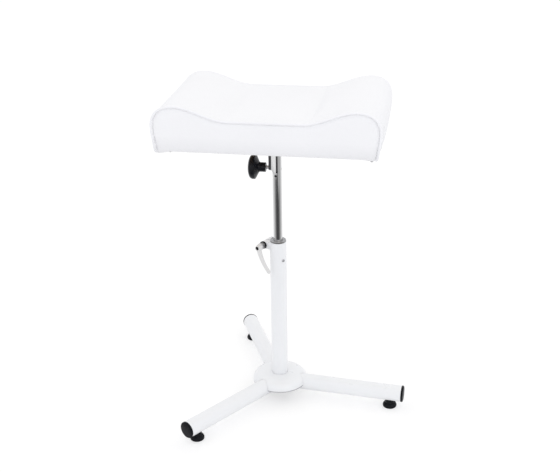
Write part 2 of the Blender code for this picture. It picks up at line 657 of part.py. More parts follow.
def build_lever(axis, look):
    root_radius = LEVER_HUB_DIAMETER / 2
    tip_radius = LEVER_TIP_DIAMETER / 2
    hub = lathe([(0, LEVER_START), (root_radius, LEVER_START), (tip_radius, LEVER_TIP), (0, LEVER_TIP)], 28)
    lever = make_piece("clamp_lever", hub, look["white_paint"], axis)
    arm = make_piece("lever_arm_form", join_rings(lever_arm_rings()), None, axis)
    apply_tool(lever, arm, "UNION")
    grip = INSERT_NECK_DIAMETER / 2 + SEAT_GAP
    eye = LEVER_SCREW_DIAMETER / 2 + SEAT_GAP
    pocket = LEVER_POCKET_DIAMETER / 2
    web_end = LEVER_WEB_START + LEVER_WEB
    bores = [
        (0, LEVER_START - CUT_PAST),
        (grip, LEVER_START - CUT_PAST),
        (grip, LEVER_WEB_START),
        (eye, LEVER_WEB_START),
        (eye, web_end),
        (pocket, web_end),
        (pocket, LEVER_TIP + CUT_PAST),
        (0, LEVER_TIP + CUT_PAST),
    ]
    apply_tool(lever, make_piece("lever_bores", lathe(bores, SMALL_SEGMENTS), None, axis))
    coil_radius = LEVER_POCKET_DIAMETER / 2 - SEAT_GAP - SPRING_WIRE / 2
    start = SPRING_START + SPRING_WIRE / 2
    end = LEVER_HEAD_START - SEAT_GAP - SPRING_WIRE / 2
    per_turn = 10
    count = SPRING_TURNS * per_turn
    coil = []
    for step in range(count + 1):
        turn = 2 * math.pi * step / per_turn
        height = start + (end - start) * step / count
        coil.append((coil_radius * math.cos(turn), coil_radius * math.sin(turn), height))
    gap = least_gap(coil, SPRING_WIRE, per_turn // 2)
    print(f"lever spring: least gap between turns {gap / MM:.2f} mm")
    make_piece("lever_spring", sweep(coil, SPRING_WIRE / 2, 6), look["zinc_steel"], axis)


# Post and guide plug


def build_post(slide_axis, post_axis, look):
    spigot = GUIDE_SPIGOT_DIAMETER / 2
    guide_profile = [
        (spigot + RUN_GAP, GUIDE_BOTTOM),
        (BORE_RADIUS - RUN_GAP - LEAD_IN, GUIDE_BOTTOM),
        (BORE_RADIUS - RUN_GAP, GUIDE_BOTTOM + LEAD_IN),
        (BORE_RADIUS - RUN_GAP, GUIDE_TOP - LEAD_IN),
        (BORE_RADIUS - RUN_GAP - LEAD_IN, GUIDE_TOP),
        (spigot + RUN_GAP, GUIDE_TOP),
    ]
    make_piece("guide_plug", lathe(guide_profile), look["black_plastic"], slide_axis)
    spigot_end = GUIDE_BOTTOM - SEAT_GAP
    screw_bore = GUIDE_SCREW_DIAMETER / 2 + SEAT_GAP
    bore_end = spigot_end + GUIDE_SCREW_BITE + SEAT_GAP
    post_profile = [
        (screw_bore, spigot_end),
        (spigot, spigot_end),
        (spigot, GUIDE_TOP + SEAT_GAP),
        (POST_RADIUS, GUIDE_TOP + SEAT_GAP),
        (POST_RADIUS, TILT_HEIGHT + FORK_RISE - LEAD_IN),
        (POST_RADIUS - LEAD_IN, TILT_HEIGHT + FORK_RISE),
        (0, TILT_HEIGHT + FORK_RISE),
        (0, bore_end),
        (screw_bore, bore_end),
    ]
    post = make_piece("post", lathe(post_profile, ROUND_SEGMENTS), look["chrome"], post_axis)
    shape_fork(post, post_axis)
    washer_top = spigot_end - SEAT_GAP
    washer_bottom = washer_top - GUIDE_WASHER_THICKNESS
    washer = sleeve(screw_bore, GUIDE_WASHER_DIAMETER / 2, washer_bottom, washer_top, SMALL_SEGMENTS)
    make_piece("guide_washer", washer, look["zinc_steel"], post_axis)
    head_top = washer_bottom - SEAT_GAP
    screw = GUIDE_SCREW_DIAMETER / 2
    screw_profile = [
        (0, head_top - GUIDE_SCREW_HEAD_HEIGHT),
        (GUIDE_SCREW_HEAD / 2, head_top - GUIDE_SCREW_HEAD_HEIGHT),
        (GUIDE_SCREW_HEAD / 2, head_top),
        (screw, head_top),
        (screw, spigot_end + GUIDE_SCREW_BITE),
        (0, spigot_end + GUIDE_SCREW_BITE),
    ]
    make_piece("guide_screw", lathe(screw_profile, SMALL_SEGMENTS), look["zinc_steel"], post_axis)


def shape_fork(post, post_axis):
    """Adds the flat left cheek, then cuts the tongue's slot, the hole under the slot and the stud's hole."""
    left = -FORK_CHEEK_FACE
    slot_left = TONGUE_SIDE - SLOT_WIDTH / 2
    slot_right = TONGUE_SIDE + SLOT_WIDTH / 2
    low = TILT_HEIGHT - FORK_CHEEK_DROP
    high = TILT_HEIGHT + FORK_RISE
    half_depth = FORK_CHEEK_DEPTH / 2
    cheek_outline = [
        (left, high),
        (left, low + FORK_CHAMFER_HEIGHT),
        (left + FORK_CHAMFER_WIDTH, low),
        (TONGUE_SIDE, low),
        (TONGUE_SIDE, high),
    ]
    upright = turned(x=90)
    cheek = prism(cheek_outline, -half_depth, half_depth)
    apply_tool(post, make_piece("fork_cheek_form", cheek, None, post_axis, upright), "UNION")
    slot_bottom = TILT_HEIGHT - TONGUE_END_RADIUS - SEAT_GAP
    slot = box((slot_left, -POST_DIAMETER, slot_bottom), (slot_right, POST_DIAMETER, high + CUT_PAST))
    apply_tool(post, make_piece("fork_slot", slot, None, post_axis))
    cross = rod(FORK_HOLE_DIAMETER / 2, -POST_DIAMETER, POST_DIAMETER)
    cross_place = turned(x=90, place=(-FORK_HOLE_SIDE, 0, TILT_HEIGHT - FORK_HOLE_DROP))
    apply_tool(post, make_piece("fork_cross_hole", cross, None, post_axis, cross_place))
    stud = rod(STUD_HOLE_RADIUS, -POST_DIAMETER, POST_DIAMETER)
    stud_place = turned(y=90, place=(0, 0, TILT_HEIGHT))
    apply_tool(post, make_piece("fork_stud_hole", stud, None, post_axis, stud_place))


# Tilt head


def bracket_outline(end_radius, top_width):
    """A plate in the tilt frame: round about the stud at its foot, wider at the mounting plate."""
    top = BRACKET_TOP - TILT_HEIGHT
    land = top - BRACKET_LAND
    waist = top - BRACKET_FLARE
    half = top_width / 2
    foot = arc((0, 0), end_radius, 180, 360, 14)
    right = [(end_radius, waist), (half, land), (half, top)]
    return foot + right + [(-y, z) for y, z in right[::-1]]


def build_bracket(tilt_axis, look):
    across = turned(x=90, z=90)
    tongue_left = TONGUE_SIDE - TONGUE_THICKNESS / 2
    plates = (
        ("bracket_tongue", TONGUE_END_RADIUS, TONGUE_TOP_WIDTH, tongue_left, tongue_left + TONGUE_THICKNESS),
        ("bracket_ear", EAR_END_RADIUS, EAR_TOP_WIDTH, -EAR_FACE, -EAR_FACE + EAR_THICKNESS),
    )
    hole_form = rod(STUD_HOLE_RADIUS, -2 * EAR_FACE, 2 * EAR_FACE)
    hole = make_piece("bracket_stud_hole", hole_form, None, tilt_axis, turned(y=90))
    for name, end_radius, top_width, start, end in plates:
        outline = bracket_outline(end_radius, top_width)
        plate = make_piece(name, prism(outline, start, end), look["dark_steel"], tilt_axis, across)
        apply_tool(plate, hole)


def screw_places():
    side = PLATE_WIDTH / 2 - PLATE_SCREW_INSET
    front = PLATE_DEPTH / 2 - PLATE_SCREW_INSET
    return [(-side, -front), (side, -front), (side, front), (-side, front)]


def build_seat(tilt_axis, look):
    lift = Matrix.Translation((0, 0, -TILT_HEIGHT))
    side = PLATE_WIDTH / 2
    front = PLATE_DEPTH / 2
    plate_form = box((-side, -front, PLATE_BOTTOM), (side, front, PLATE_TOP))
    plate = make_piece("mounting_plate", plate_form, look["dark_steel"], tilt_axis, lift)
    side = HALF_WIDTH - BOARD_MARGIN_SIDE
    front = HALF_DEPTH - BOARD_MARGIN_FRONT
    board_form = box((-side, -front, CUSHION_BOTTOM), (side, front, CUSHION_BOTTOM + BOARD_THICKNESS))
    board = make_piece("seat_board", board_form, look["plywood"], tilt_axis, lift)
    shank = PLATE_SCREW_DIAMETER / 2
    head_top = PLATE_BOTTOM - SEAT_GAP
    tip = CUSHION_BOTTOM + PLATE_SCREW_BITE
    head = PLATE_SCREW_HEAD / 2
    profile = [
        (0, head_top - PLATE_SCREW_HEAD_HEIGHT),
        (head * HEAD_FLAT_SHARE, head_top - PLATE_SCREW_HEAD_HEIGHT),
        (head, head_top - PLATE_SCREW_HEAD_HEIGHT / 2),
        (head, head_top),
        (shank, head_top),
        (shank, tip - PLATE_SCREW_POINT),
        (0, tip),
    ]
    for number, place in enumerate(screw_places(), 1):
        spot = lift @ Matrix.Translation((*place, 0))
        screw = lathe(profile, SMALL_SEGMENTS)
        make_piece(f"plate_screw_{number}", screw, look["zinc_steel"], tilt_axis, spot)
        hole_form = rod(shank + SEAT_GAP, PLATE_BOTTOM - CUT_PAST, tip + SEAT_GAP)
        hole = make_piece(f"plate_screw_hole_{number}", hole_form, None, tilt_axis, spot)
        apply_tool(plate, hole)
        apply_tool(board, hole)


def cushion_half_outline():
    """The right half of the cushion's front outline, from the middle of its underside up to the trough."""
    base = HALF_WIDTH - CUSHION_DRAW_IN
    bend = CUSHION_BOTTOM_ROUND
    flat = TROUGH_FLAT_WIDTH / 2
    points = [(base * share, 0) for share in (0, 0.35, 0.7)]
    points += arc((base - bend, bend), bend, -90, 0, 3)
    for share in (0.35, 0.7):
        height = bend + (SIDE_HEIGHT - bend) * share
        points.append((base + CUSHION_DRAW_IN * math.sin(share * math.pi / 2), height))
    steps = 8
    for step in range(steps):
        turn = math.pi / 2 * step / steps
        out = math.cos(turn) ** (2 / HUMP_FULLNESS)
        up = math.sin(turn) ** (2 / HUMP_FULLNESS)
        points.append((HUMP_PLACE + HUMP_FROM_SIDE * out, SIDE_HEIGHT + (HUMP_HEIGHT - SIDE_HEIGHT) * up))
    steps = 9
    for step in range(steps + 1):
        share = 1 - step / steps
        rise = (HUMP_HEIGHT - TROUGH_HEIGHT) * share * share * (3 - 2 * share)
        points.append((flat + (HUMP_PLACE - flat) * share, TROUGH_HEIGHT + rise))
    points += [(flat * share, TROUGH_HEIGHT) for share in (0.5, 0)]
    return points


def cushion_outline():
    half = cushion_half_outline()
    return half + [(-x, z) for x, z in half[-2:0:-1]]


def moved_outline(outline, distance):
    """The outline moved outwards, but for the flat underside."""
    moved = []
    count = len(outline)
    for index, (x, z) in enumerate(outline):
        before = Vector(outline[index - 1])
        after = Vector(outline[(index + 1) % count])
        along = (after - before).normalized()
        share = min(z / CUSHION_BOTTOM_ROUND, 1)
        moved.append((x + along.y * distance * share, z - along.x * distance * share))
    return moved


def cushion_rings():
    """Rings from the back face to the front face: face, seam edge, crowned body, seam edge, face."""
    outline = cushion_outline()
    edge = HALF_DEPTH - SEAM_CHAMFER
    shares = (1, 0.85, 0.6, 0.3, 0, -0.3, -0.6, -0.85, -1)
    body = [(edge * share, CROWN * (1 - share ** 2)) for share in shares]
    face_middle = TROUGH_HEIGHT / 2
    seam_outline = moved_outline(outline, -SEAM_CHAMFER)

    def face_ring(share, side):
        y = side * (HALF_DEPTH + FACE_BULGE * (1 - share ** 2))
        return [(x * share, y, face_middle + (z - face_middle) * share) for x, z in seam_outline]

    rings = [face_ring(share, 1) for share in (0.3, 0.7, 0.92, 1)]
    for y, swell in body:
        rings.append([(x, y, z) for x, z in moved_outline(outline, swell)])
    rings += [face_ring(share, -1) for share in (1, 0.92, 0.7, 0.3)]
    return rings


def piping_points(side):
    """The piping's line: in the seam's chamfer, from one lower corner over the top to the other."""
    rest = SEAM_CHAMFER / 2
    stand = (PIPING_DIAMETER / 2 + SEAT_GAP) / math.sqrt(2)
    line = moved_outline(cushion_outline(), stand - rest)
    y = side * (HALF_DEPTH - rest + stand)
    return [(x, y, z) for x, z in line if z > CUSHION_BOTTOM_ROUND - EDGE_BREAK]


def build_cushion(tilt_axis, look):
    lift = Matrix.Translation((0, 0, CUSHION_BOTTOM - TILT_HEIGHT))
    body = join_rings(cushion_rings())
    cushion = make_piece("cushion", body, look["white_vinyl"], tilt_axis, lift)
    side = HALF_WIDTH - BOARD_MARGIN_SIDE + SEAT_GAP
    front = HALF_DEPTH - BOARD_MARGIN_FRONT + SEAT_GAP
    pocket = box((-side, -front, -BOARD_THICKNESS), (side, front, BOARD_THICKNESS + SEAT_GAP))
    apply_tool(cushion, make_piece("board_pocket", pocket, None, tilt_axis, lift))
    for name, way in (("piping_front", -1), ("piping_back", 1)):
        cord = sweep(piping_points(way), PIPING_DIAMETER / 2, 8)
        make_piece(name, cord, look["piping_vinyl"], tilt_axis, lift)


def build_knob(knob_axis, look):
    """Knob and stud, turned on the tilt axis with the frame's Z pointing left."""
    stud = STUD_DIAMETER / 2
    shoulder = STUD_SHOULDER_DIAMETER / 2
    stud_end = -POST_RADIUS + STUD_SHORT
    in_knob = KNOB_START + STUD_IN_KNOB
    stud_profile = [
        (0, stud_end),
        (stud, stud_end),
        (stud, EAR_FACE + SEAT_GAP),
        (shoulder, EAR_FACE + SEAT_GAP),
        (shoulder, KNOB_START - SEAT_GAP),
        (stud, KNOB_START - SEAT_GAP),
        (stud, in_knob),
        (0, in_knob),
    ]
    make_piece("pivot_stud", lathe(stud_profile, SMALL_SEGMENTS), look["zinc_steel"], knob_axis)
    collar = KNOB_COLLAR_DIAMETER / 2
    rim = KNOB_DIAMETER / 2
    cone_start = KNOB_START + KNOB_COLLAR
    rim_start = cone_start + KNOB_CONE
    rim_end = rim_start + KNOB_RIM
    bore = stud + SEAT_GAP
    dome_edge = rim - KNOB_RIM_ROUND
    dome = [(dome_edge * x, rim_end + KNOB_DOME * y) for x, y in arc((0, 0), 1, 0, 75, 5)]
    profile = [
        (bore, KNOB_START),
        (collar - EDGE_BREAK, KNOB_START),
        (collar, KNOB_START + EDGE_BREAK),
        (collar, cone_start),
        (dome_edge, rim_start),
        (rim, rim_start + KNOB_RIM_ROUND),
        (rim, rim_end - KNOB_RIM_ROUND),
        *dome,
        (0, rim_end + KNOB_DOME),
        (0, in_knob + SEAT_GAP),
        (bore, in_knob + SEAT_GAP),
    ]
    make_piece("tilt_knob", lathe(profile), look["knob_plastic"], knob_axis)


def main():
    clear_scene()
    look = make_materials()
    root = make_frame("footrest", None, Matrix.Translation(column_place()))
    for name in LEG_ANGLES:
        build_leg(root, name, look)
    build_hub(root, look)
    build_column(root, look)
    clamp_axis = clamp_frame(root)
    build_lugs(clamp_axis, look)
    build_clamp_screw(clamp_axis, look)
    build_lever(clamp_axis, look)
    slide_axis = make_frame("post_slide_axis", root)
    post_axis = make_frame("post_turn_axis", slide_axis)
    build_post(slide_axis, post_axis, look)
    tilt_axis = make_frame("tilt_axis", post_axis, turned(place=(0, 0, TILT_HEIGHT)))
    build_bracket(tilt_axis, look)
    build_seat(tilt_axis, look)
    build_cushion(tilt_axis, look)
    knob_axis = make_frame("knob_axis", post_axis, turned(y=-90, place=(0, 0, TILT_HEIGHT)))
    build_knob(knob_axis, look)


main()
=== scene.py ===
"""Pedicure footrest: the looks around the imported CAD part.

The file is laid out as an add-on and run as a script. Settings come first, then finishes, shapes, operators
and the panel, and main() calls the operators in order. Lengths are in metres, in the CAD part's own frame.
"""
import json
import math

import bmesh
import bpy
import numpy as np
from bpy.props import FloatProperty, FloatVectorProperty, IntProperty, PointerProperty
from mathutils import Matrix, Vector


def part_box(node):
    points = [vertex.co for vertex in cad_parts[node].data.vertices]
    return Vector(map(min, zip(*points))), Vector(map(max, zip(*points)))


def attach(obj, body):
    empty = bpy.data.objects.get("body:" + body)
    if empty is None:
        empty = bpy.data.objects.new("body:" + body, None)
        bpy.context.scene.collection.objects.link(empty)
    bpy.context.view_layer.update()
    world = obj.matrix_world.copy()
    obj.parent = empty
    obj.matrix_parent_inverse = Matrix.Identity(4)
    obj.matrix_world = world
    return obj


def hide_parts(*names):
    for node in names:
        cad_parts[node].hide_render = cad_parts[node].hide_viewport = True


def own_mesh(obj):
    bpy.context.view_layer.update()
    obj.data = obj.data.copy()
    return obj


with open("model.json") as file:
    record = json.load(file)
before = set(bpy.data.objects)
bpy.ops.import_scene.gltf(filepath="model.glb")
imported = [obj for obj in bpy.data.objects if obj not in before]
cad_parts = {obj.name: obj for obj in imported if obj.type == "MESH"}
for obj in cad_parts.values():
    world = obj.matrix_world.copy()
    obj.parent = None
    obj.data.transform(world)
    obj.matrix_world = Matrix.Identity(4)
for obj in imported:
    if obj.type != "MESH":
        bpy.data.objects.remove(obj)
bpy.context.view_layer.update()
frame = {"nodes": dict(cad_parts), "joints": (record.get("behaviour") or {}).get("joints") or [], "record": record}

bl_info = {
    "name": "Pedicure Footrest Looks",
    "version": (1, 0, 0),
    "blender": (4, 5, 0),
    "location": "View3D > Sidebar > Footrest",
    "description": "Dresses the packed pedicure footrest with its upholstery, finishes, fixings and studio",
    "category": "Object",
}

MM = 0.001
UP, DOWN, RIGHT = Vector((0, 0, 1)), Vector((0, 0, -1)), Vector((1, 0, 0))


# Places and sizes of the CAD part


def middle_of(node):
    low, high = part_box(node)
    return (low + high) / 2


def size_of(node):
    low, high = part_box(node)
    return high - low


def on_column(height):
    """A place on the column's axis."""
    return Vector((COLUMN_AXIS.x, COLUMN_AXIS.y, height))


def nodes_named(start):
    return [name for name in NODES if name.startswith(start)]


NODES = frame["nodes"]
SLOT_OF = {part["node"]: part["material_slot"] for part in frame["record"]["subparts"]}
COLOUR_OF = {row["slot"]: tuple(row["base_color"]) for row in frame["record"]["materials"]}
JOINTS = {joint["name"]: joint for joint in frame["joints"]}
COLUMN_AXIS = Vector(JOINTS["post_swivel"]["pos_m"])
TILT_AXIS = Vector(JOINTS["cushion_tilt"]["pos_m"])
CLAMP_AXIS = Vector(JOINTS["clamp_turn"]["pos_m"])
CLAMP_WAY = Vector(JOINTS["clamp_turn"]["axis"]).normalized()
CUSHION_LOW, CUSHION_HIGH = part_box("cushion")
CUSHION_MIDDLE = (CUSHION_LOW + CUSHION_HIGH) / 2
CUSHION_BOTTOM = CUSHION_LOW.z
BOARD_LOW, BOARD_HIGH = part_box("seat_board")
COLUMN_RADIUS = size_of("column").x / 2

# Sizes of the solids that their boxes don't tell: the crown of the cushion's front and back, the legs' reach
# from the column's axis, and a clamp lug's reach from the middle of the clamp
SOLID_CROWN = 2 * MM
LEG_REACH = 237 * MM
LUG_REACH = 11.3 * MM

# Places along the clamp's axis, from its middle
LEVER_FOOT_END = 23 * MM
SPRING_START = 24.1 * MM
SPRING_END = 29.9 * MM
LEVER_HEAD_START = 30.2 * MM

# Distance that joins the loose triangles of a solid
MERGE = 0.005 * MM

# Angles of the solids' edges: on a level face, of an edge to be rounded, and of one that is shaded sharp
LEVEL_ANGLE, EDGE_ANGLE, SHARP_ANGLE = math.radians(0.6), math.radians(38), math.radians(32)

# Rounding of the solids' edges, in millimetres
ROUNDED = {
    "clamp_lug_front": 0.9, "clamp_lug_rear": 0.9, "clamp_nut": 0.5, "base_bolt": 0.5, "bracket_ear": 0.4,
    "bracket_tongue": 0.4, "mounting_plate": 0.5, "post": 0.35, "hub_cover": 0.5, "column": 0.3,
    "guide_bush": 0.2, "seat_board": 0.4, "clamp_screw": 0.25, "clamp_ring": 0.3, "pivot_stud": 0.25,
}

# Uneven waves of the gathers and of the cut edge: wavelength, height and phase
SEAM_WAVES = ((17 * MM, 0.6, 0.4), (11.3 * MM, 0.45, 2.1), (29.7 * MM, 0.5, 4.0), (7.1 * MM, 0.2, 1.3))
EDGE_WAVES = ((24 * MM, 0.7, 1.9), (39 * MM, 0.6, 0.2), (15.7 * MM, 0.35, 3.3))

# The cushion's lower corners: the side in X and in Y, then the fold's share of the hang, or how many
# millimetres the tack is set in
CORNER_FOLDS = ((-1, -1, 1), (1, -1, 0.6), (1, 1, 0.8), (-1, 1, 0.7))
CORNER_TACKS = ((-1, -1, 24), (1, -1, 10), (1, 1, 19), (-1, 1, 15))

# Brightness of the white ground as the camera sees it
BACKDROP = 1.08


# Settings


def number(name, default, description, **more):
    return FloatProperty(name=name, description=description, default=default, **more)


def length(name, default, description):
    return number(name, default, description, unit="LENGTH", precision=4)


def angle(name, default, description):
    return number(name, default, description, subtype="ANGLE")


def share(name, default, description):
    return number(name, default, description, min=0, max=1, subtype="FACTOR")


def colour(name, default, description):
    return FloatVectorProperty(
        name=name, description=description, default=default, size=3, min=0, max=1, subtype="COLOR"
    )


class FootrestCushion(bpy.types.PropertyGroup):
    width: length("Width", CUSHION_HIGH.x - CUSHION_LOW.x - 1 * MM, "Width of the front panel")
    depth: length(
        "Depth", CUSHION_HIGH.y - CUSHION_LOW.y - 2 * SOLID_CROWN, "From the front panel to the back one"
    )
    draw_in: length("Draw In", 5 * MM, "How far the ends lean in towards the underside")
    bottom_round: length("Bottom Round", 5 * MM, "Radius of the lower edges at the ends")
    side_height: length("Side Height", 42 * MM, "Height of the widest place of the ends")
    trough_height: length("Trough Height", 55 * MM, "Height of the trough over the underside")
    hump_height: length("Hump Height", 77.4 * MM, "Height of the two humps over the underside")
    hump_from_side: length("Hump From Side", 38.5 * MM, "From the widest place to the top of a hump")
    trough_flat: length("Trough Flat", 124 * MM, "Width of the level part of the trough")
    fullness: number("Hump Fullness", 2.3, "2 is an ellipse, more is squarer")
    seam_chamfer: length("Seam Chamfer", 3 * MM, "Width of the turned seam that the piping lies in")
    slack: length("Slack", 1 * MM, "How much smaller the cover starts before it swells")
    pressure: number("Pressure", 4, "Stuffing pressure while the cover swells")
    swell_cap: length("Swell Limit", 5.5 * MM, "The furthest that a point of the cover may swell")
    voxel: length("Mesh Size", 5 * MM, "Mesh size of the cover while it swells")
    steps: IntProperty(name="Swell Steps", description="Frames of the swelling", default=20)
    pucker: length("Pucker", 0.35 * MM, "Height of the small gathers along the seams")
    piping_diameter: length("Piping", 3.8 * MM, "Diameter of the piping in the seams")
    piping_bed: length("Piping Bed", 0.9 * MM, "How deep the piping is drawn into the seam")
    back_seam: length("Back Seam", 2.4 * MM, "How far the back seam lies under the top's edge")
    piping_colour: colour("Piping Colour", (0.9, 0.9, 0.915), "Colour of the piping")
    fill: share("Fill", 0.85, "How tightly the cushion is stuffed")
    grain: length("Grain", 0.9 * MM, "Size of the pebbles in the vinyl's grain")
    lean: number("Lean", 0.008, "Slope of the stuffing's top, higher at the right")
    end_swell: length("End Swell", 3.4 * MM, "How much fuller the right end is stuffed")
    edge_hang: length("Edge Hang", 3 * MM, "How far the wrapped lower edge hangs under the board")
    corner_hang: length("Corner Hang", 4.5 * MM, "How much further the folded lower corners hang")


class FootrestUnderside(bpy.types.PropertyGroup):
    margin: length("Turned Margin", 26 * MM, "Width of the vinyl turned under the board")
    thickness: length("Vinyl Thickness", 0.9 * MM, "Thickness of the turned vinyl")
    cut_waver: length("Cut Waver", 1.6 * MM, "How unevenly the vinyl's edge is cut")
    staple_pitch: length("Staple Pitch", 23 * MM, "Distance between staples")
    staple_width: length("Staple Width", 10.5 * MM, "Crown width of a staple")
    staple_turn: angle("Staple Turn", 0.22, "How unevenly the staples are turned")
    tack_diameter: length("Tack", 5 * MM, "Head diameter of the tacks that hold the piping's ends")
    tack_height: length("Tack Height", 1.9 * MM, "Head height of the tacks")


class FootrestStand(bpy.types.PropertyGroup):
    paint: colour("Paint", COLOUR_OF["white_paint"], "Powder coat of the tubes and the hub")
    lever: colour("Lever", (0.74, 0.735, 0.725), "Powder coat of the clamp lever")
    metal: colour("Turned Metal", (0.385, 0.385, 0.385), "Guide bush and clamp screw")
    # Painted shade: the hub's core is given this dark grey to show the shade under the hub's cover
    painted_core_shade: colour("Primer", (0.2, 0.2, 0.21), "Undercoat of the hub's core")
    plastic: colour("Plastic", (0.006, 0.0066, 0.009), "Caps, glides and clamp ring")
    knob: colour("Knob", (0.007, 0.0075, 0.011), "Tilt knob")
    chrome: colour("Chrome", COLOUR_OF["chrome"], "Post")
    weld_radius: length("Weld Radius", 1.5 * MM, "Size of the weld beads between lugs and column")
    weld_pitch: length("Weld Pitch", 1.7 * MM, "Distance between the ripples of a weld bead")
    lever_mesh: length("Lever Mesh", 0.4 * MM, "Mesh size of the cast lever")


class FootrestStage(bpy.types.PropertyGroup):
    azimuth: angle("Azimuth", math.radians(10.53), "Camera's side")
    elevation: angle("Elevation", math.radians(24.47), "Camera's height")
    roll: angle("Roll", math.radians(-0.81), "Camera's lean")
    lens: number("Lens", 66.97, "Focal length on a 36 mm sensor")
    distance: length("Distance", 1.879, "From the camera to the point it looks at")
    target: FloatVectorProperty(
        name="Target", description="Point that the camera looks at, from the column's foot",
        default=(3.54 * MM, 0.66 * MM, 329.5 * MM), subtype="TRANSLATION", unit="LENGTH",
    )
    floor: colour("Floor", (0.98, 0.98, 0.98), "Floor and backdrop")
    shade_lift: share("Shade Lift", 0.5, "How far the shade on the floor is lifted towards white")
    overhead: number("Overhead", 26, "Power of the wide light above")
    key: number("Key", 8, "Power of the soft light at the front right")
    surround: number("Surround", 1, "Strength of the light from all round")
    surround_tint: colour("Surround Tint", (0.96, 0.966, 1), "Colour of the light from all round")


# Node helpers


FLOAT, WHOLE, VECTOR, COLOUR = "NodeSocketFloat", "NodeSocketInt", "NodeSocketVector", "NodeSocketColor"
GEOMETRY, MATERIAL, OBJECT = "NodeSocketGeometry", "NodeSocketMaterial", "NodeSocketObject"


def assign(thing, **values):
    """Sets attributes of a thing and gives it back."""
    for name, value in values.items():
        setattr(thing, name, value)
    return thing


def feed(tree, node, inputs):
    """Links or sets a node's inputs by name or number."""
    for key, value in inputs.items():
        if isinstance(value, bpy.types.NodeSocket):
            tree.links.new(value, node.inputs[key])
        else:
            node.inputs[key].default_value = value


def put(tree, kind, inputs=None, **properties):
    """Adds a node, sets its properties, then its inputs."""
    node = assign(tree.nodes.new(kind), **properties)
    feed(tree, node, inputs or {})
    return node


def math_node(tree, operation, first, second=0.0):
    return put(tree, "ShaderNodeMath", {0: first, 1: second}, operation=operation).outputs[0]


def product(tree, first, second):
    return math_node(tree, "MULTIPLY", first, second)


def vector_node(tree, operation, first, second=None, output="Vector"):
    inputs = {0: first}
    if second is not None:
        inputs["Scale" if operation == "SCALE" else 1] = second
    return put(tree, "ShaderNodeVectorMath", inputs, operation=operation).outputs[output]


def noise(tree, place, scale, detail, output=0, **more):
    inputs = {"Vector": place, "Scale": scale, "Detail": detail, **more}
    return put(tree, "ShaderNodeTexNoise", inputs).outputs[output]


def axes_of(tree, place):
    return put(tree, "ShaderNodeSeparateXYZ", {0: place}).outputs


def span(tree, value, low, high, to_low, to_high, form="LINEAR"):
    """Maps a value from one span to another and keeps it inside."""
    places = {"Value": value, "From Min": low, "From Max": high, "To Min": to_low, "To Max": to_high}
    return put(tree, "ShaderNodeMapRange", places, interpolation_type=form).outputs[0]


def blend_colours(tree, factor, first, second):
    return put(tree, "ShaderNodeMix", {0: factor, 6: first, 7: second}, data_type="RGBA").outputs[2]


def make_group(name, kind, inputs, outputs):
    """A node group with sockets by name and kind, and the sockets that its nodes read and feed."""
    group = bpy.data.node_groups.new(name, kind)
    for way, sockets in (("INPUT", inputs), ("OUTPUT", outputs)):
        for label, socket_kind in sockets.items():
            group.interface.new_socket(label, in_out=way, socket_type=socket_kind)
    return group, group.nodes.new("NodeGroupInput").outputs, group.nodes.new("NodeGroupOutput").inputs


def effect_group(name, inputs, outputs):
    """A shader group that reads places on a surface."""
    return make_group(name, "ShaderNodeTree", {"Vector": VECTOR, **inputs}, outputs)


def shape_tree(name, inputs):
    """A geometry tree that takes a shape and a material and gives a shape."""
    inputs = {"Geometry": GEOMETRY, **inputs, "Material": MATERIAL}
    return make_group(name, "GeometryNodeTree", inputs, {"Geometry": GEOMETRY})


def shared(builder):
    """The group with the builder's name, built the first time that it is asked for."""
    found = bpy.data.node_groups.get(builder.__name__)
    return builder() if found is None else found


# Shared surface effects


def tone_drift():
    """Slow drift of a colour's brightness over a surface."""
    inputs = {"Colour": COLOUR, "Scale": FLOAT, "Amount": FLOAT}
    group, given, made = effect_group("tone_drift", inputs, {"Colour": COLOUR})
    cloud = noise(group, given["Vector"], given["Scale"], 4)
    lowest = math_node(group, "SUBTRACT", 1.0, given["Amount"])
    highest = math_node(group, "ADD", 1.0, given["Amount"])
    factor = span(group, cloud, 0.3, 0.7, lowest, highest)
    group.links.new(vector_node(group, "SCALE", given["Colour"], factor), made["Colour"])
    return group


def gloss_drift():
    """Roughness that wanders between two values, as on a handled surface."""
    inputs = {"Scale": FLOAT, "Low": FLOAT, "High": FLOAT}
    group, given, made = effect_group("gloss_drift", inputs, {"Roughness": FLOAT})
    cloud = noise(group, given["Vector"], given["Scale"], 6)
    group.links.new(span(group, cloud, 0.3, 0.7, given["Low"], given["High"]), made["Roughness"])
    return group


def moulded_skin():
    """The fine skin of sprayed or moulded surfaces, as a height."""
    group, given, made = effect_group("moulded_skin", {"Scale": FLOAT, "Flow": FLOAT}, {"Height": FLOAT})
    fine = noise(group, given["Vector"], given["Scale"], 2)
    wave = noise(group, given["Vector"], product(group, given["Scale"], 0.23), 1)
    flow = product(group, wave, given["Flow"])
    group.links.new(math_node(group, "ADD", fine, flow), made["Height"])
    return group


def fine_scratches():
    """Fine straight marks along one direction, as a mask. Stretch is small along the marks."""
    group, given, made = effect_group("fine_scratches", {"Stretch": VECTOR, "Rare": FLOAT}, {"Mask": FLOAT})
    drawn = vector_node(group, "MULTIPLY", given["Vector"], given["Stretch"])
    lines = noise(group, drawn, 1, 3, Roughness=0.6)
    patches = noise(group, given["Vector"], 14, 2)
    most = math_node(group, "ADD", given["Rare"], 0.12)
    mask = span(group, lines, given["Rare"], most, 0, 1)
    where = span(group, patches, 0.42, 0.62, 0, 1)
    group.links.new(product(group, mask, where), made["Mask"])
    return group


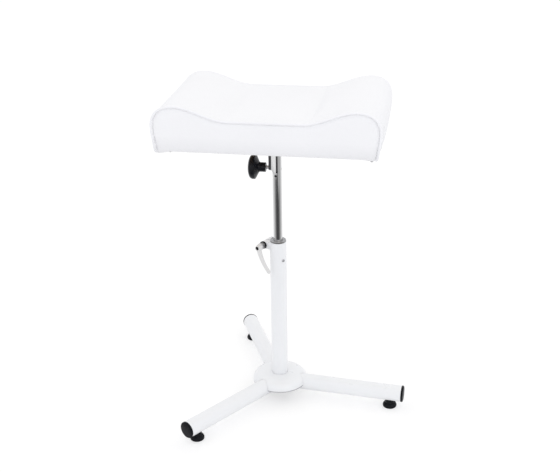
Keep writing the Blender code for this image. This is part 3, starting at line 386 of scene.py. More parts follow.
def pebble_grain():
    """Pebbled leather grain: a height, and a mask of the creases between the pebbles."""
    group, given, made = effect_group("pebble_grain", {"Scale": FLOAT}, {"Height": FLOAT, "Crease": FLOAT})
    bend = noise(group, given["Vector"], 420, 2, output=1)
    moved = vector_node(group, "ADD", given["Vector"], vector_node(group, "SCALE", bend, 0.9 * MM))
    cells = {"Vector": moved, "Scale": given["Scale"]}
    cells = put(group, "ShaderNodeTexVoronoi", cells, feature="DISTANCE_TO_EDGE").outputs[0]
    soft = math_node(group, "POWER", span(group, cells, 0.0, 0.26, 0, 1), 0.6)
    pores = product(group, noise(group, given["Vector"], 5200, 2), 0.18)
    group.links.new(math_node(group, "ADD", soft, pores), made["Height"])
    group.links.new(span(group, cells, 0.0, 0.1, 1, 0), made["Crease"])
    return group


def floor_dust():
    """Dust that settles near the floor, as a mask."""
    group, given, made = effect_group("floor_dust", {"Top": FLOAT, "Amount": FLOAT}, {"Mask": FLOAT})
    low = span(group, axes_of(group, given["Vector"])[2], 0.0, given["Top"], 1, 0)
    cloud = noise(group, given["Vector"], 60, 6, Roughness=0.65)
    patch = span(group, cloud, 0.4, 0.7, 0.15, 1)
    group.links.new(product(group, product(group, low, patch), given["Amount"]), made["Mask"])
    return group


# Finishes


DUST_TOP = 50 * MM


def rgba(three):
    return (*three, 1.0)


class Finish:
    """A new material: its tree, shader and object coordinates, with the shared effects at hand."""

    def __init__(self, name):
        self.material = bpy.data.materials.new(name)
        self.material.use_nodes = True
        self.tree = self.material.node_tree
        self.tree.nodes.clear()
        self.shader = self.tree.nodes.new("ShaderNodeBsdfPrincipled")
        self.output = put(self.tree, "ShaderNodeOutputMaterial", {"Surface": self.shader.outputs[0]})
        self.place = self.tree.nodes.new("ShaderNodeTexCoord").outputs["Object"]

    def set(self, **inputs):
        """Links or sets the shader's inputs, named in small letters with _ for a space."""
        names = {key: key.replace("_", " ").title().replace("Ior", "IOR") for key in inputs}
        feed(self.tree, self.shader, {names[key]: value for key, value in inputs.items()})

    def bump(self, height, strength, distance):
        inputs = {"Height": height, "Strength": strength, "Distance": distance}
        self.set(normal=put(self.tree, "ShaderNodeBump", inputs).outputs[0])

    def effect(self, builder, **inputs):
        inputs["Vector"] = self.place
        return put(self.tree, "ShaderNodeGroup", inputs, node_tree=shared(builder)).outputs

    def tone(self, plain, scale, amount):
        return self.effect(tone_drift, Colour=rgba(plain), Scale=scale, Amount=amount)[0]

    def gloss(self, scale, low, high):
        return self.effect(gloss_drift, Scale=scale, Low=low, High=high)[0]

    def skin(self, scale, flow):
        return self.effect(moulded_skin, Scale=scale, Flow=flow)[0]

    def marks(self, stretch, rare):
        return self.effect(fine_scratches, Stretch=stretch, Rare=rare)[0]

    def dust(self, amount):
        return self.effect(floor_dust, Top=DUST_TOP, Amount=amount)[0]


def lever_foot(tree, place):
    """The turned foot of the lever's hub, before the arm, as a mask."""
    start = vector_node(tree, "SUBTRACT", place, tuple(CLAMP_AXIS))
    along = vector_node(tree, "DOT_PRODUCT", start, tuple(CLAMP_WAY), "Value")
    return span(tree, along, LEVER_FOOT_END - 0.1 * MM, LEVER_FOOT_END + 0.1 * MM, 1, 0)


def hub_rim(tree, place):
    """Painted shade along the lower rim of the hub's cover, as a mask that turns the paint to satin metal."""
    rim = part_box("hub_cover")[0].z
    return span(tree, axes_of(tree, place)[2], rim + 1.6 * MM, rim + 2.4 * MM, 1, 0)


def powder_coat(name, paint, bare_or_shaded_place=None):
    """Sprayed paint with fine marks and dust, turned to satin metal where the given mask says so."""
    finish = Finish(name)
    tree = finish.tree
    worn = product(tree, finish.marks((500, 500, 70), 0.63), 0.05)
    marked = blend_colours(tree, worn, finish.tone(paint, 11, 0.012), (0.5, 0.5, 0.5, 1))
    dusted = blend_colours(tree, finish.dust(0.05), marked, (0.55, 0.53, 0.5, 1))
    if bare_or_shaded_place:
        # The mask is real unpainted metal on the lever's foot, and painted shade on the hub cover's rim
        bare_or_shaded = bare_or_shaded_place(tree, finish.place)
        dusted = blend_colours(tree, bare_or_shaded, dusted, rgba(COLOUR_OF["satin_metal"]))
        finish.set(metallic=bare_or_shaded)
    finish.set(base_color=dusted, roughness=finish.gloss(30, 0.27, 0.37), coat_weight=0.2, coat_roughness=0.1)
    finish.bump(finish.skin(620, 0.8), 0.10, 0.25 * MM)


def moulded_plastic(name, plain, low, high, fineness, dust, shine):
    """Moulded plastic with a fine skin, uneven gloss and a little dust."""
    finish = Finish(name)
    tone = finish.tone(plain, 40, 0.15)
    dusted = blend_colours(finish.tree, finish.dust(dust), tone, (0.25, 0.24, 0.23, 1))
    finish.set(base_color=dusted, roughness=finish.gloss(70, low, high), specular_ior_level=shine)
    finish.bump(finish.skin(fineness, 0.3), 0.12, 0.12 * MM)


def metal(name, plain, tone, gloss, marks, rubbed, relief):
    """Plated or turned metal: uneven gloss, and fine lines along one way that are a little rougher."""
    finish = Finish(name)
    lines = finish.marks(*marks)
    rough = math_node(finish.tree, "ADD", finish.gloss(*gloss), product(finish.tree, lines, rubbed))
    finish.set(base_color=finish.tone(plain, *tone), roughness=rough, metallic=1.0)
    finish.bump(lines, *relief)


def black_paint(name, plain):
    """Satin paint with marks that show the metal under it."""
    finish = Finish(name)
    worn = product(finish.tree, finish.marks((90, 700, 420), 0.62), 0.5)
    marked = blend_colours(finish.tree, worn, finish.tone(plain, 50, 0.12), (0.3, 0.3, 0.31, 1))
    finish.set(base_color=marked, roughness=finish.gloss(80, 0.34, 0.5))
    finish.bump(finish.skin(1500, 0.5), 0.12, 0.12 * MM)


def plywood(name, plain):
    """Rotary-cut veneer with its grain along the board."""
    finish = Finish(name)
    tree = finish.tree
    drawn = put(tree, "ShaderNodeMapping", {"Vector": finish.place, "Scale": (3.2, 26, 26)}).outputs[0]
    rings = math_node(tree, "SINE", product(tree, noise(tree, drawn, 1.6, 6, Distortion=0.9), 34))
    along = put(tree, "ShaderNodeMapping", {"Vector": finish.place, "Scale": (28, 900, 900)}).outputs[0]
    fibre = noise(tree, along, 1, 3)
    dark = math_node(tree, "ADD", span(tree, rings, 0.2, 1.0, 0, 0.5), span(tree, fibre, 0.45, 0.75, 0, 0.35))
    veneer = blend_colours(tree, dark, finish.tone(plain, 16, 0.06), (0.42, 0.27, 0.14, 1))
    finish.set(base_color=veneer, roughness=finish.gloss(40, 0.55, 0.72))
    finish.bump(fibre, 0.2, 0.2 * MM)


def vinyl(name, plain, grain, low, high):
    """Pebbled upholstery vinyl, with painted shade in the grain's creases and towards the lower edge."""
    finish = Finish(name)
    tree = finish.tree
    pebbles = finish.effect(pebble_grain, Scale=1 / grain)
    # Painted shade: the grain's creases are greyed
    painted_crease_shade = product(tree, pebbles["Crease"], 0.10)
    shaded = blend_colours(tree, painted_crease_shade, finish.tone(plain, 9, 0.008), (0.62, 0.62, 0.66, 1))
    height = axes_of(tree, finish.place)[2]
    # Painted shade: greyer over the lowest 30 mm, where the front turns away from the light
    lower_edge_share = span(tree, height, CUSHION_BOTTOM - 4 * MM, CUSHION_BOTTOM + 26 * MM, 0.28, 0)
    lower_shaded = blend_colours(tree, lower_edge_share, shaded, (0.6, 0.6, 0.62, 1))
    finish.set(base_color=lower_shaded, roughness=finish.gloss(22, low, high))
    finish.bump(pebbles["Height"], 0.16, 0.12 * MM)


# The finish of each of the record's slots, and of three nodes that have one of their own
FINISH_OF = {
    "white_paint": "powder_coat",
    "clamp_lever": "lever_coat",
    # The hub's cover has a finish of its own for the painted shade along its rim
    "hub_cover": "hub_coat",
    # The hub's core is painted dark grey as painted shade under the hub
    "hub_core": "grey_primer",
    "black_plastic": "moulded_black_plastic",
    "knob_plastic": "smooth_knob_plastic",
    "chrome": "polished_chrome",
    "satin_metal": "satin_turned_metal",
    "zinc_steel": "zinc_plate",
    "dark_steel": "satin_black_paint",
    "plywood": "plywood_veneer",
    "white_vinyl": "pebbled_vinyl",
    "piping_vinyl": "piping_skin",
}


def make_finishes(stand, cushion):
    relief = (0.12, 0.06 * MM)
    powder_coat("powder_coat", stand.paint)
    powder_coat("lever_coat", stand.lever, lever_foot)
    # The hub's cover gets a band of painted shade along its lower rim
    powder_coat("hub_coat", stand.paint, hub_rim)
    powder_coat("grey_primer", stand.painted_core_shade)
    moulded_plastic("moulded_black_plastic", stand.plastic, 0.32, 0.45, 1900, 0.03, 0.1)
    moulded_plastic("smooth_knob_plastic", stand.knob, 0.24, 0.34, 2600, 0, 0.2)
    metal(
        "polished_chrome", stand.chrome, (25, 0.015), (60, 0.05, 0.09), ((1400, 1400, 16), 0.6), 0.12,
        (0.05, 0.05 * MM),
    )
    for name, plain, low, high, stretch in (
        ("satin_turned_metal", stand.metal, 0.24, 0.36, (60, 60, 2600)),
        ("zinc_plate", COLOUR_OF["zinc_steel"], 0.3, 0.46, (700, 700, 500)),
    ):
        metal(name, plain, (180, 0.1), (120, low, high), (stretch, 0.5), 0.1, relief)
    black_paint("satin_black_paint", COLOUR_OF["dark_steel"])
    plywood("plywood_veneer", COLOUR_OF["plywood"])
    vinyl("pebbled_vinyl", COLOUR_OF["white_vinyl"], cushion.grain, 0.36, 0.47)
    vinyl("piping_skin", cushion.piping_colour, cushion.grain / 2, 0.36, 0.46)


def finishes(context):
    """The materials by slot or node, made once."""
    if "powder_coat" not in bpy.data.materials:
        make_finishes(context.scene.footrest_stand, context.scene.footrest_cushion)
    return {key: bpy.data.materials[name] for key, name in FINISH_OF.items()}


# Mesh helpers


def dress(piece, material):
    """Gives a piece one material."""
    piece.data.materials.clear()
    piece.data.materials.append(material)
    return piece


def new_piece(name, mesh, material=None):
    if isinstance(mesh, bmesh.types.BMesh):
        made = bpy.data.meshes.new(name)
        mesh.to_mesh(made)
        mesh.free()
        mesh = made
    piece = bpy.data.objects.new(name, mesh)
    bpy.context.scene.collection.objects.link(piece)
    return piece if material is None else dress(piece, material)


def drop(piece):
    """Takes away a helper object and its mesh."""
    mesh = piece.data
    bpy.data.objects.remove(piece)
    bpy.data.meshes.remove(mesh)


def modify(piece, name, kind, **settings):
    return assign(piece.modifiers.new(name, kind), **settings)


def settle(piece):
    """Turns a piece with its modifiers into a plain mesh."""
    graph = bpy.context.evaluated_depsgraph_get()
    made = bpy.data.meshes.new_from_object(piece.evaluated_get(graph), depsgraph=graph)
    old = piece.data
    piece.modifiers.clear()
    piece.data = made
    bpy.data.meshes.remove(old)
    made.name = piece.name
    return piece


def smooth(piece, degrees=35):
    """Shades a piece smoothly, but for edges sharper than the angle."""
    piece.data.shade_smooth()
    piece.data.set_sharp_from_angle(angle=math.radians(degrees))
    return piece


def hand_over(piece, body, slot, *nodes):
    """Sets a finished piece on its body and hides the CAD nodes that it stands for; slot is not used."""
    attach(piece, body)
    if nodes:
        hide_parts(*nodes)


def circle(radius, height, segments):
    """Points of a level circle about Z, or its middle alone where it has no radius."""
    if radius < 1e-7:
        return [(0, 0, height)]
    turns = [2 * math.pi * step / segments for step in range(segments)]
    return [(radius * math.cos(turn), radius * math.sin(turn), height) for turn in turns]


def skin_rings(rings, closed_ends=True, loop=False):
    """Skins rings of points, or single points, into a body. A loop joins the last ring to the first."""
    bm = bmesh.new()
    loops = [[bm.verts.new(point) for point in ring] for ring in rings]
    pairs = list(zip(loops, loops[1:]))
    if loop:
        pairs.append((loops[-1], loops[0]))
    for lower, upper in pairs:
        count = max(len(lower), len(upper))
        for index in range(count):
            after = (index + 1) % count
            low = [lower[place % len(lower)] for place in (index, after)]
            high = [upper[place % len(upper)] for place in (after, index)]
            bm.faces.new(tuple(dict.fromkeys(low + high)))
    if closed_ends and not loop:
        bm.faces.new(loops[0][::-1])
        bm.faces.new(loops[-1])
    bmesh.ops.recalc_face_normals(bm, faces=bm.faces)
    return bm


def lathe(profile, segments, loop=False):
    """Turns (radius, height) points about Z into a closed body, or into a ring from a closed profile."""
    rings = [circle(radius, height, segments) for radius, height in profile]
    return skin_rings(rings, closed_ends=False, loop=loop)


def in_mm(rows):
    return [tuple(value * MM for value in row) for row in rows]


def eased(corners, steps=6):
    """A profile of (radius, height, ease) corners, each rounded over its ease before and after it."""
    line = []
    for index, (radius, height, ease) in enumerate(corners):
        here = Vector((radius, height))
        if not ease:
            line.append((radius, height))
            continue
        start = here + (Vector(corners[index - 1][:2]) - here).normalized() * ease
        end = here + (Vector(corners[index + 1][:2]) - here).normalized() * ease
        for step in range(steps + 1):
            part = step / steps
            line.append(tuple(start.lerp(here, part).lerp(here.lerp(end, part), part)))
    return line


def cut(piece, tool):
    """Takes a tool's form out of a piece and drops the tool."""
    modify(piece, "cut", "BOOLEAN", object=tool, operation="DIFFERENCE", solver="EXACT")
    settle(piece)
    drop(tool)


def unit_cube():
    """A cube of size 1 about the origin, to be shaped into a cutting tool."""
    bm = bmesh.new()
    bmesh.ops.create_cube(bm, size=1)
    return bm


def resample(points, step):
    """Points at an even step along a line of points."""
    points = np.array(points, float)
    legs = np.linalg.norm(np.diff(points, axis=0), axis=1)
    along = np.concatenate(([0], np.cumsum(legs)))
    count = max(int(round(along[-1] / step)), 2)
    even = np.linspace(0, along[-1], count + 1)
    return np.stack([np.interp(even, along, points[:, axis]) for axis in range(points.shape[1])], axis=1)


def points_of(mesh, attribute="co"):
    """The places of a mesh's points, or their normals, as an array."""
    values = np.zeros(len(mesh.vertices) * 3, np.float32)
    mesh.vertices.foreach_get(attribute, values)
    return values.reshape(-1, 3).astype(float)


def set_points(mesh, points):
    mesh.vertices.foreach_set("co", points.astype(np.float32).ravel())
    mesh.update()


def nearest(points, line):
    """Each point's distance to a row of places, and the number of the nearest place."""
    line = np.array([tuple(place) for place in line], float)
    far = np.full(len(points), np.inf)
    index = np.zeros(len(points), int)
    for place_number, place in enumerate(line):
        gap = np.linalg.norm(points - place, axis=1)
        closer = gap < far
        far[closer] = gap[closer]
        index[closer] = place_number
    return far, index


def falling(value, low, high):
    """1 up to the low value, then falling to 0 at the high one."""
    return np.clip((high - value) / (high - low), 0, 1)


def rounded_off(part):
    """A share from 0 to 1 that leaves both ends softly."""
    return part * part * (3 - 2 * part)


def waver(along, waves):
    """A smooth uneven wave along a length: a sum of (wavelength, height, phase)."""
    return sum(height * np.sin(2 * np.pi * along / wave + phase) for wave, height, phase in waves)


# Trees that repeat a thing or follow a path


def finish_tree(tree, geometry, given, made):
    real = put(tree, "GeometryNodeRealizeInstances", {0: geometry})
    inputs = {"Geometry": real.outputs[0], "Material": given["Material"]}
    tree.links.new(put(tree, "GeometryNodeSetMaterial", inputs).outputs[0], made[0])
    return tree


def even_line(tree, path, step):
    """A path of edges as a curve with points at an even step."""
    line = put(tree, "GeometryNodeMeshToCurve", {"Mesh": path}).outputs[0]
    return put(tree, "GeometryNodeResampleCurve", {"Curve": line, "Length": step}, mode="LENGTH").outputs[0]


def turned_to(tree, facing, heading):
    """The turn that points an item's Z along facing and its X along heading."""
    axes = {"primary_axis": "Z", "secondary_axis": "X"}
    return put(tree, "FunctionNodeAxesToRotation", {0: facing, 1: heading}, **axes).outputs[0]


def set_items(tree, points, turn, given, made):
    item = put(tree, "GeometryNodeObjectInfo", {"Object": given["Item"]}).outputs["Geometry"]
    inputs = {"Points": points, "Instance": item, "Rotation": turn}
    return finish_tree(tree, put(tree, "GeometryNodeInstanceOnPoints", inputs).outputs[0], given, made)


def follow_path():
    """A round body along a path, with ripples if a weld needs them."""
    inputs = {"Radius": FLOAT, "Sides": WHOLE, "Step": FLOAT, "Ripple": FLOAT, "Ripple Pitch": FLOAT}
    tree, given, made = shape_tree("follow_path", inputs)
    line = even_line(tree, given["Geometry"], given["Step"])
    where = tree.nodes.new("GeometryNodeSplineParameter").outputs["Length"]
    turns = math_node(tree, "DIVIDE", where, given["Ripple Pitch"])
    wave = math_node(tree, "SINE", product(tree, turns, 2 * math.pi))
    scale = math_node(tree, "ADD", 1.0, product(tree, wave, given["Ripple"]))
    round_wire = {"Resolution": given["Sides"], "Radius": given["Radius"]}
    round_wire = put(tree, "GeometryNodeCurvePrimitiveCircle", round_wire).outputs[0]
    inputs = {"Curve": line, "Profile Curve": round_wire, "Scale": scale, "Fill Caps": True}
    return finish_tree(tree, put(tree, "GeometryNodeCurveToMesh", inputs).outputs[0], given, made)


def set_along_path():
    """An item set along a path at an even pitch, facing down and turned a little at random."""
    inputs = {"Item": OBJECT, "Pitch": FLOAT, "Turn": FLOAT, "Seed": WHOLE}
    tree, given, made = shape_tree("set_along_path", inputs)
    line = even_line(tree, given["Geometry"], given["Pitch"])
    facing = turned_to(tree, tuple(DOWN), tree.nodes.new("GeometryNodeInputTangent").outputs[0])
    spread = {2: product(tree, given["Turn"], -1.0), 3: given["Turn"], "Seed": given["Seed"]}
    spread = put(tree, "FunctionNodeRandomValue", spread, data_type="FLOAT").outputs[1]
    spin = put(tree, "FunctionNodeAxisAngleToRotation", {"Axis": tuple(UP), "Angle": spread}).outputs[0]
    turn = put(tree, "FunctionNodeRotateRotation", {0: facing, 1: spin}, rotation_space="LOCAL").outputs[0]
    return set_items(tree, line, turn, given, made)


def set_on_points():
    """An item set on each point, along the point's own facing and heading."""
    tree, given, made = shape_tree("set_on_points", {"Item": OBJECT})
    spots = put(tree, "GeometryNodeMeshToPoints", {"Mesh": given["Geometry"]}).outputs[0]
    ways = [
        put(tree, "GeometryNodeInputNamedAttribute", {"Name": name}, data_type="FLOAT_VECTOR").outputs[0]
        for name in ("facing", "heading")
    ]
    return set_items(tree, spots, turned_to(tree, *ways), given, made)


def even_shading():
    """Smooth shading for a CAD solid, but for edges sharper than an angle."""
    tree, given, made = shape_tree("even_shading", {"Sharp Angle": FLOAT})
    bend = tree.nodes.new("GeometryNodeInputMeshEdgeAngle").outputs["Unsigned Angle"]
    bend = {0: bend, 1: given["Sharp Angle"]}
    sharp = put(tree, "FunctionNodeCompare", bend, data_type="FLOAT", operation="GREATER_THAN").outputs[0]
    inputs = {
        "Mesh": given["Geometry"], "Remove Custom": True, "Edge Sharpness": sharp, "Face Sharpness": False,
    }
    shaded = put(tree, "GeometryNodeSetMeshNormal", inputs, mode="SHARPNESS").outputs[0]
    return finish_tree(tree, shaded, given, made)


def add_tree(piece, builder, **values):
    """Puts a tree on a piece, with its inputs set."""
    tree = shared(builder)
    modifier = modify(piece, tree.name, "NODES", node_group=tree)
    names = {item.name: item.identifier for item in tree.interface.items_tree if item.in_out == "INPUT"}
    for name, value in values.items():
        modifier[names[name.replace("_", " ")]] = value


def run_tree(piece, builder, **values):
    """Puts a tree on a piece with its inputs, and turns the result into a plain mesh."""
    add_tree(piece, builder, **values)
    return smooth(settle(piece))


def path_piece(name, points, loop=False):
    """A helper piece that holds a path as a row of edges."""
    mesh = bpy.data.meshes.new(name)
    edges = [(index, index + 1) for index in range(len(points) - 1)]
    if loop:
        edges.append((len(points) - 1, 0))
    mesh.from_pydata([tuple(point) for point in points], edges, [])
    return new_piece(name, mesh)


def sweep(name, points, radius, sides, step, material, ripple=0.0, pitch=1 * MM):
    """A round body along a row of points, rippled if asked."""
    return run_tree(
        path_piece(name, points), follow_path, Radius=radius, Sides=sides, Step=step, Ripple=ripple,
        Ripple_Pitch=pitch, Material=material,
    )


def set_copies(name, form, spots, look, body, slot, *nodes):
    """Sets copies of a form on spots of (place, facing, heading), as one piece that stands for CAD nodes."""
    mesh = bpy.data.meshes.new(name)
    mesh.from_pydata([tuple(spot[0]) for spot in spots], [], [])
    for column, label in enumerate(("facing", "heading"), 1):
        values = [value for spot in spots for value in spot[column]]
        mesh.attributes.new(label, "FLOAT_VECTOR", "POINT").data.foreach_set("vector", values)
    copies = run_tree(new_piece(name, mesh), set_on_points, Item=form, Material=look[slot])
    drop(form)
    hand_over(copies, body, slot, *nodes)


# Cushion shapes


BEND_STEPS, SIDE_STEPS, HUMP_STEPS, SLOPE_STEPS = 12, 12, 48, 40
OUTLINE_STEP = 3 * MM


def saddle_outline(cushion):
    """The cushion's front outline from the middle of its underside, right, over the top, and back."""
    half_width = cushion.width / 2
    base = half_width - cushion.draw_in
    bend = cushion.bottom_round
    flat = cushion.trough_flat / 2
    hump = half_width - cushion.hump_from_side
    rise = cushion.hump_height - cushion.side_height
    half = [(0, 0)]
    for step in range(BEND_STEPS + 1):
        turn = math.pi / 2 * (step / BEND_STEPS - 1)
        half.append((base - bend + bend * math.cos(turn), bend + bend * math.sin(turn)))
    for step in range(1, SIDE_STEPS):
        part = step / SIDE_STEPS
        height = bend + (cushion.side_height - bend) * part
        half.append((base + cushion.draw_in * math.sin(part * math.pi / 2), height))
    power = 2 / cushion.fullness
    for step in range(HUMP_STEPS):
        turn = math.pi / 2 * step / HUMP_STEPS
        out = math.cos(turn) ** power
        height = cushion.side_height + rise * math.sin(turn) ** power
        half.append((hump + cushion.hump_from_side * out, height))
    for step in range(SLOPE_STEPS + 1):
        part = 1 - step / SLOPE_STEPS
        lift = (cushion.hump_height - cushion.trough_height) * rounded_off(part)
        half.append((flat + (hump - flat) * part, cushion.trough_height + lift))
    half.append((0, cushion.trough_height))
    whole = half + [(-x, z) for x, z in half[-2:0:-1]]
    return resample(whole + [whole[0]], OUTLINE_STEP)[:-1]


def moved_outline(outline, distance, bend):
    """The outline moved outwards by a distance, but for the flat underside."""
    along = np.roll(outline, -1, axis=0) - np.roll(outline, 1, axis=0)
    along /= np.linalg.norm(along, axis=1, keepdims=True)
    part = np.clip(outline[:, 1] / bend, 0, 1) * distance
    return outline + np.stack([along[:, 1] * part, -along[:, 0] * part], axis=1)


def cushion_place(x, y, z):
    """A point of the cushion's own outline in the part's frame."""
    return Vector((CUSHION_MIDDLE.x + x, CUSHION_MIDDLE.y + y, CUSHION_BOTTOM + z))


def cover_start(cushion):
    """The cover before it swells: a little small in the middle of each panel."""
    outline = saddle_outline(cushion)
    bend = cushion.bottom_round
    edge = cushion.depth / 2 - cushion.seam_chamfer
    seam = moved_outline(outline, -cushion.seam_chamfer, bend)
    middle = cushion.trough_height / 2
    front, body, back = [], [], []
    for side, panel in ((1, back), (-1, front)):
        for part in (0.1, 0.3, 0.5, 0.7, 0.9, 1):
            y = side * (cushion.depth / 2 - cushion.slack * (1 - part ** 2))
            panel.append([cushion_place(x * part, y, middle + (z - middle) * part) for x, z in seam])
    for part in np.linspace(1, -1, 21):
        around = moved_outline(outline, -cushion.slack * (1 - part ** 2), bend)
        body.append([cushion_place(x, edge * part, z) for x, z in around])
    return skin_rings(back + body + front[::-1])


def piping_line(cushion, side):
    """The piping's middle line in the seam, from one lower corner over the top to the other."""
    bend, clear = cushion.bottom_round, 0.3 * MM
    rest = cushion.seam_chamfer / 2
    stand = (cushion.piping_diameter / 2 + clear - cushion.piping_bed) / math.sqrt(2)
    lower = cushion.back_seam if side > 0 else 0
    line = moved_outline(saddle_outline(cushion), stand - rest - lower, bend)
    y = side * (cushion.depth / 2 - rest + stand + lower / 4)
    over = [(x, z) for x, z in line if z > bend - 0.6 * MM]
    start = next(i for i in range(len(over)) if over[i][0] > 0 and over[i - 1][0] <= 0)
    return [cushion_place(x, y, z) for x, z in over[start:] + over[:start]]


def piping_with_ends(cushion, side):
    """The piping's line with its two ends tucked in under the cushion's lower corners."""
    line = piping_line(cushion, side)
    ends = []
    for corner in (line[0], line[-1]):
        inward = 1 if corner.x < CUSHION_MIDDLE.x else -1
        tucks = in_mm(((1.6, 1.4, 3.6), (5.5, 5.5, 6)))
        ends.append([
            Vector((corner.x + inward * x, corner.y - side * y, CUSHION_BOTTOM + z)) for x, y, z in tucks
        ])
    return hung(cushion, ends[0][::-1] + line + ends[1])


def swell(piece, cushion, seams):
    """Swells the cover as cloth under pressure, held at the seams and the underside, up to a limit."""
    start = points_of(piece.data)
    held_low = falling(start[:, 2] - CUSHION_BOTTOM, 12 * MM, 30 * MM)
    held_seam = falling(nearest(start, seams)[0], 6 * MM, 16 * MM)
    group = piece.vertex_groups.new(name="held")
    for index, weight in enumerate(np.maximum(held_low, held_seam)):
        group.add([index], float(weight), "REPLACE")
    modifier = modify(piece, "swell", "CLOTH")
    assign(
        modifier.settings, quality=6, mass=0.3, tension_stiffness=15, compression_stiffness=15,
        shear_stiffness=8, bending_stiffness=2, use_pressure=True, uniform_pressure_force=cushion.pressure,
        vertex_group_mass="held",
    )
    modifier.settings.effector_weights.gravity = 0
    assign(modifier.collision_settings, use_collision=False, use_self_collision=False)
    assign(modifier.point_cache, frame_start=1, frame_end=cushion.steps)
    scene = bpy.context.scene
    for step in range(1, cushion.steps + 1):
        scene.frame_set(step)
    settle(piece)
    scene.frame_set(1)
    moved = points_of(piece.data) - start
    far = np.linalg.norm(moved, axis=1, keepdims=True)
    moved *= np.minimum(1, cushion.swell_cap / np.maximum(far, 1e-9))
    set_points(piece.data, start + moved)
    piece.vertex_groups.clear()


def gather(piece, cushion, seams):
    """Gathers the cover along the seams and its lower edge under the board, and fills out its right end."""
    mesh = piece.data
    points, normals = points_of(mesh), points_of(mesh, "normal")
    height = points[:, 2] - CUSHION_BOTTOM
    far, index = nearest(points, seams)
    along = index * OUTLINE_STEP
    panel = np.abs(normals[:, 1]) > 0.7
    wave = np.where(panel, waver(along + 0.4, SEAM_WAVES), waver(along, SEAM_WAVES))
    reach = np.exp(-np.maximum(far - 4 * MM, 0) / (7 * MM)) * (1 - np.exp(-(far / (4 * MM)) ** 2))
    lift = cushion.pucker * wave * reach
    round_edge = np.where(panel, points[:, 0], points[:, 1])
    lower_edge_share = np.exp(-np.maximum(height - 6 * MM, 0) / (9 * MM)) * (np.abs(normals[:, 2]) < 0.6)
    lift += 1.3 * cushion.pucker * waver(round_edge, EDGE_WAVES) * lower_edge_share
    lift -= 0.5 * MM * np.exp(-(far / (3.2 * MM)) ** 2)
    points += normals * lift[:, None]
    across = (points[:, 0] - CUSHION_MIDDLE.x) / (cushion.width / 2)
    deep = (points[:, 1] - CUSHION_MIDDLE.y) / (cushion.depth / 2)
    near_end = rounded_off(1 - falling(across, 0.75, 0.95))
    points[:, 0] += cushion.end_swell * near_end * np.clip(1 - deep ** 2, 0, 1)
    points[:, 2] = np.maximum(points[:, 2], CUSHION_BOTTOM)
    set_points(mesh, points)


def hang(cushion, x, y):
    """How far the wrapped lower edge and its folded corners hang, at places from the cushion's middle."""
    half_x = cushion.width / 2 - cushion.draw_in
    half_y = cushion.depth / 2
    inside = np.minimum(half_x - np.abs(x), half_y - np.abs(y))
    edge = rounded_off(falling(inside, 0, 20 * MM))
    depth = cushion.edge_hang * (1 - 0.4 * x / half_x) * edge
    for side_x, side_y, amount in CORNER_FOLDS:
        near_x = rounded_off(falling(np.abs(x - side_x * half_x), 0, 30 * MM))
        near_y = rounded_off(falling(np.abs(y - side_y * half_y), 0, 30 * MM))
        depth = depth + cushion.corner_hang * amount * near_x * near_y
    return depth


def hung(cushion, points):
    """Points of the cover or its piping, with the hanging lower edge and the lean of the top."""
    moved = np.array([tuple(point) for point in points], float)
    x, y = moved[:, 0] - CUSHION_MIDDLE.x, moved[:, 1] - CUSHION_MIDDLE.y
    height = moved[:, 2] - CUSHION_BOTTOM
    moved[:, 2] -= falling(height, 0, 22 * MM) * hang(cushion, x, y)
    moved[:, 2] += np.clip(height / (40 * MM), 0, 1) * cushion.lean * x
    return moved


def board_tool(gap):
    """A box a little larger than the board, which reaches down past the cushion's underside."""
    bm = unit_cube()
    low = BOARD_LOW - Vector((gap, gap, 8 * MM))
    high = BOARD_HIGH + Vector((gap, gap, gap))
    for vert in bm.verts:
        vert.co = Vector([low[axis] + (vert.co[axis] + 0.5) * (high[axis] - low[axis]) for axis in range(3)])
    return new_piece("board_tool", bm)


def make_cover(cushion, material):
    seams = piping_line(cushion, 1) + piping_line(cushion, -1)
    cover = new_piece("cushion_cover", cover_start(cushion))
    modify(cover, "even_mesh", "REMESH", mode="VOXEL", voxel_size=cushion.voxel)
    settle(cover)
    swell(cover, cushion, seams)
    modify(cover, "relax", "SMOOTH", factor=0.5, iterations=2)
    modify(cover, "finer", "SUBSURF", levels=1, render_levels=1)
    settle(cover)
    gather(cover, cushion, seams)
    set_points(cover.data, hung(cushion, points_of(cover.data)))
    cut(cover, board_tool(0.2 * MM))
    return smooth(dress(cover, material), 50)


# Underside shapes


def rounded_loop(half_x, half_y, radius, along_x=96, along_y=56, around=8):
    """Points of a rounded rectangle, the same count for any size, from the front right corner round."""
    loop = []
    corners = ((1, -1, -90), (1, 1, 0), (-1, 1, 90), (-1, -1, 180))
    for corner, (side_x, side_y, start) in enumerate(corners):
        middle = Vector((side_x * (half_x - radius), side_y * (half_y - radius)))
        for step in range(around + 1):
            turn = math.radians(start + 90 * step / around)
            loop.append(middle + radius * Vector((math.cos(turn), math.sin(turn))))
        after = corners[(corner + 1) % 4]
        goal = Vector((after[0] * (half_x - radius), after[1] * (half_y - radius)))
        turn = math.radians(start + 90)
        goal += radius * Vector((math.cos(turn), math.sin(turn)))
        count = along_y if corner % 2 == 0 else along_x
        first = loop[-1].copy()
        loop += [first.lerp(goal, step / count) for step in range(1, count)]
    return loop


def margin_loops(cushion, underside):
    """The outer and the inner edge of the turned vinyl, and each place's distance from the nearest corner."""
    out_x = cushion.width / 2 - cushion.draw_in - cushion.bottom_round - 2.5 * MM
    out_y = cushion.depth / 2 - 7.5 * MM
    outer = rounded_loop(out_x, out_y, 7 * MM)
    inner = rounded_loop(out_x - underside.margin, out_y - underside.margin, 3 * MM)
    along = 0
    for index, place in enumerate(inner):
        along += (place - inner[index - 1]).length if index else 0
        uneven = float(waver(np.array(along), EDGE_WAVES)) * underside.cut_waver
        place += (outer[index] - place).normalized() * uneven
    near = [math.hypot(out_x - abs(place.x), out_y - abs(place.y)) for place in outer]
    return outer, inner, near


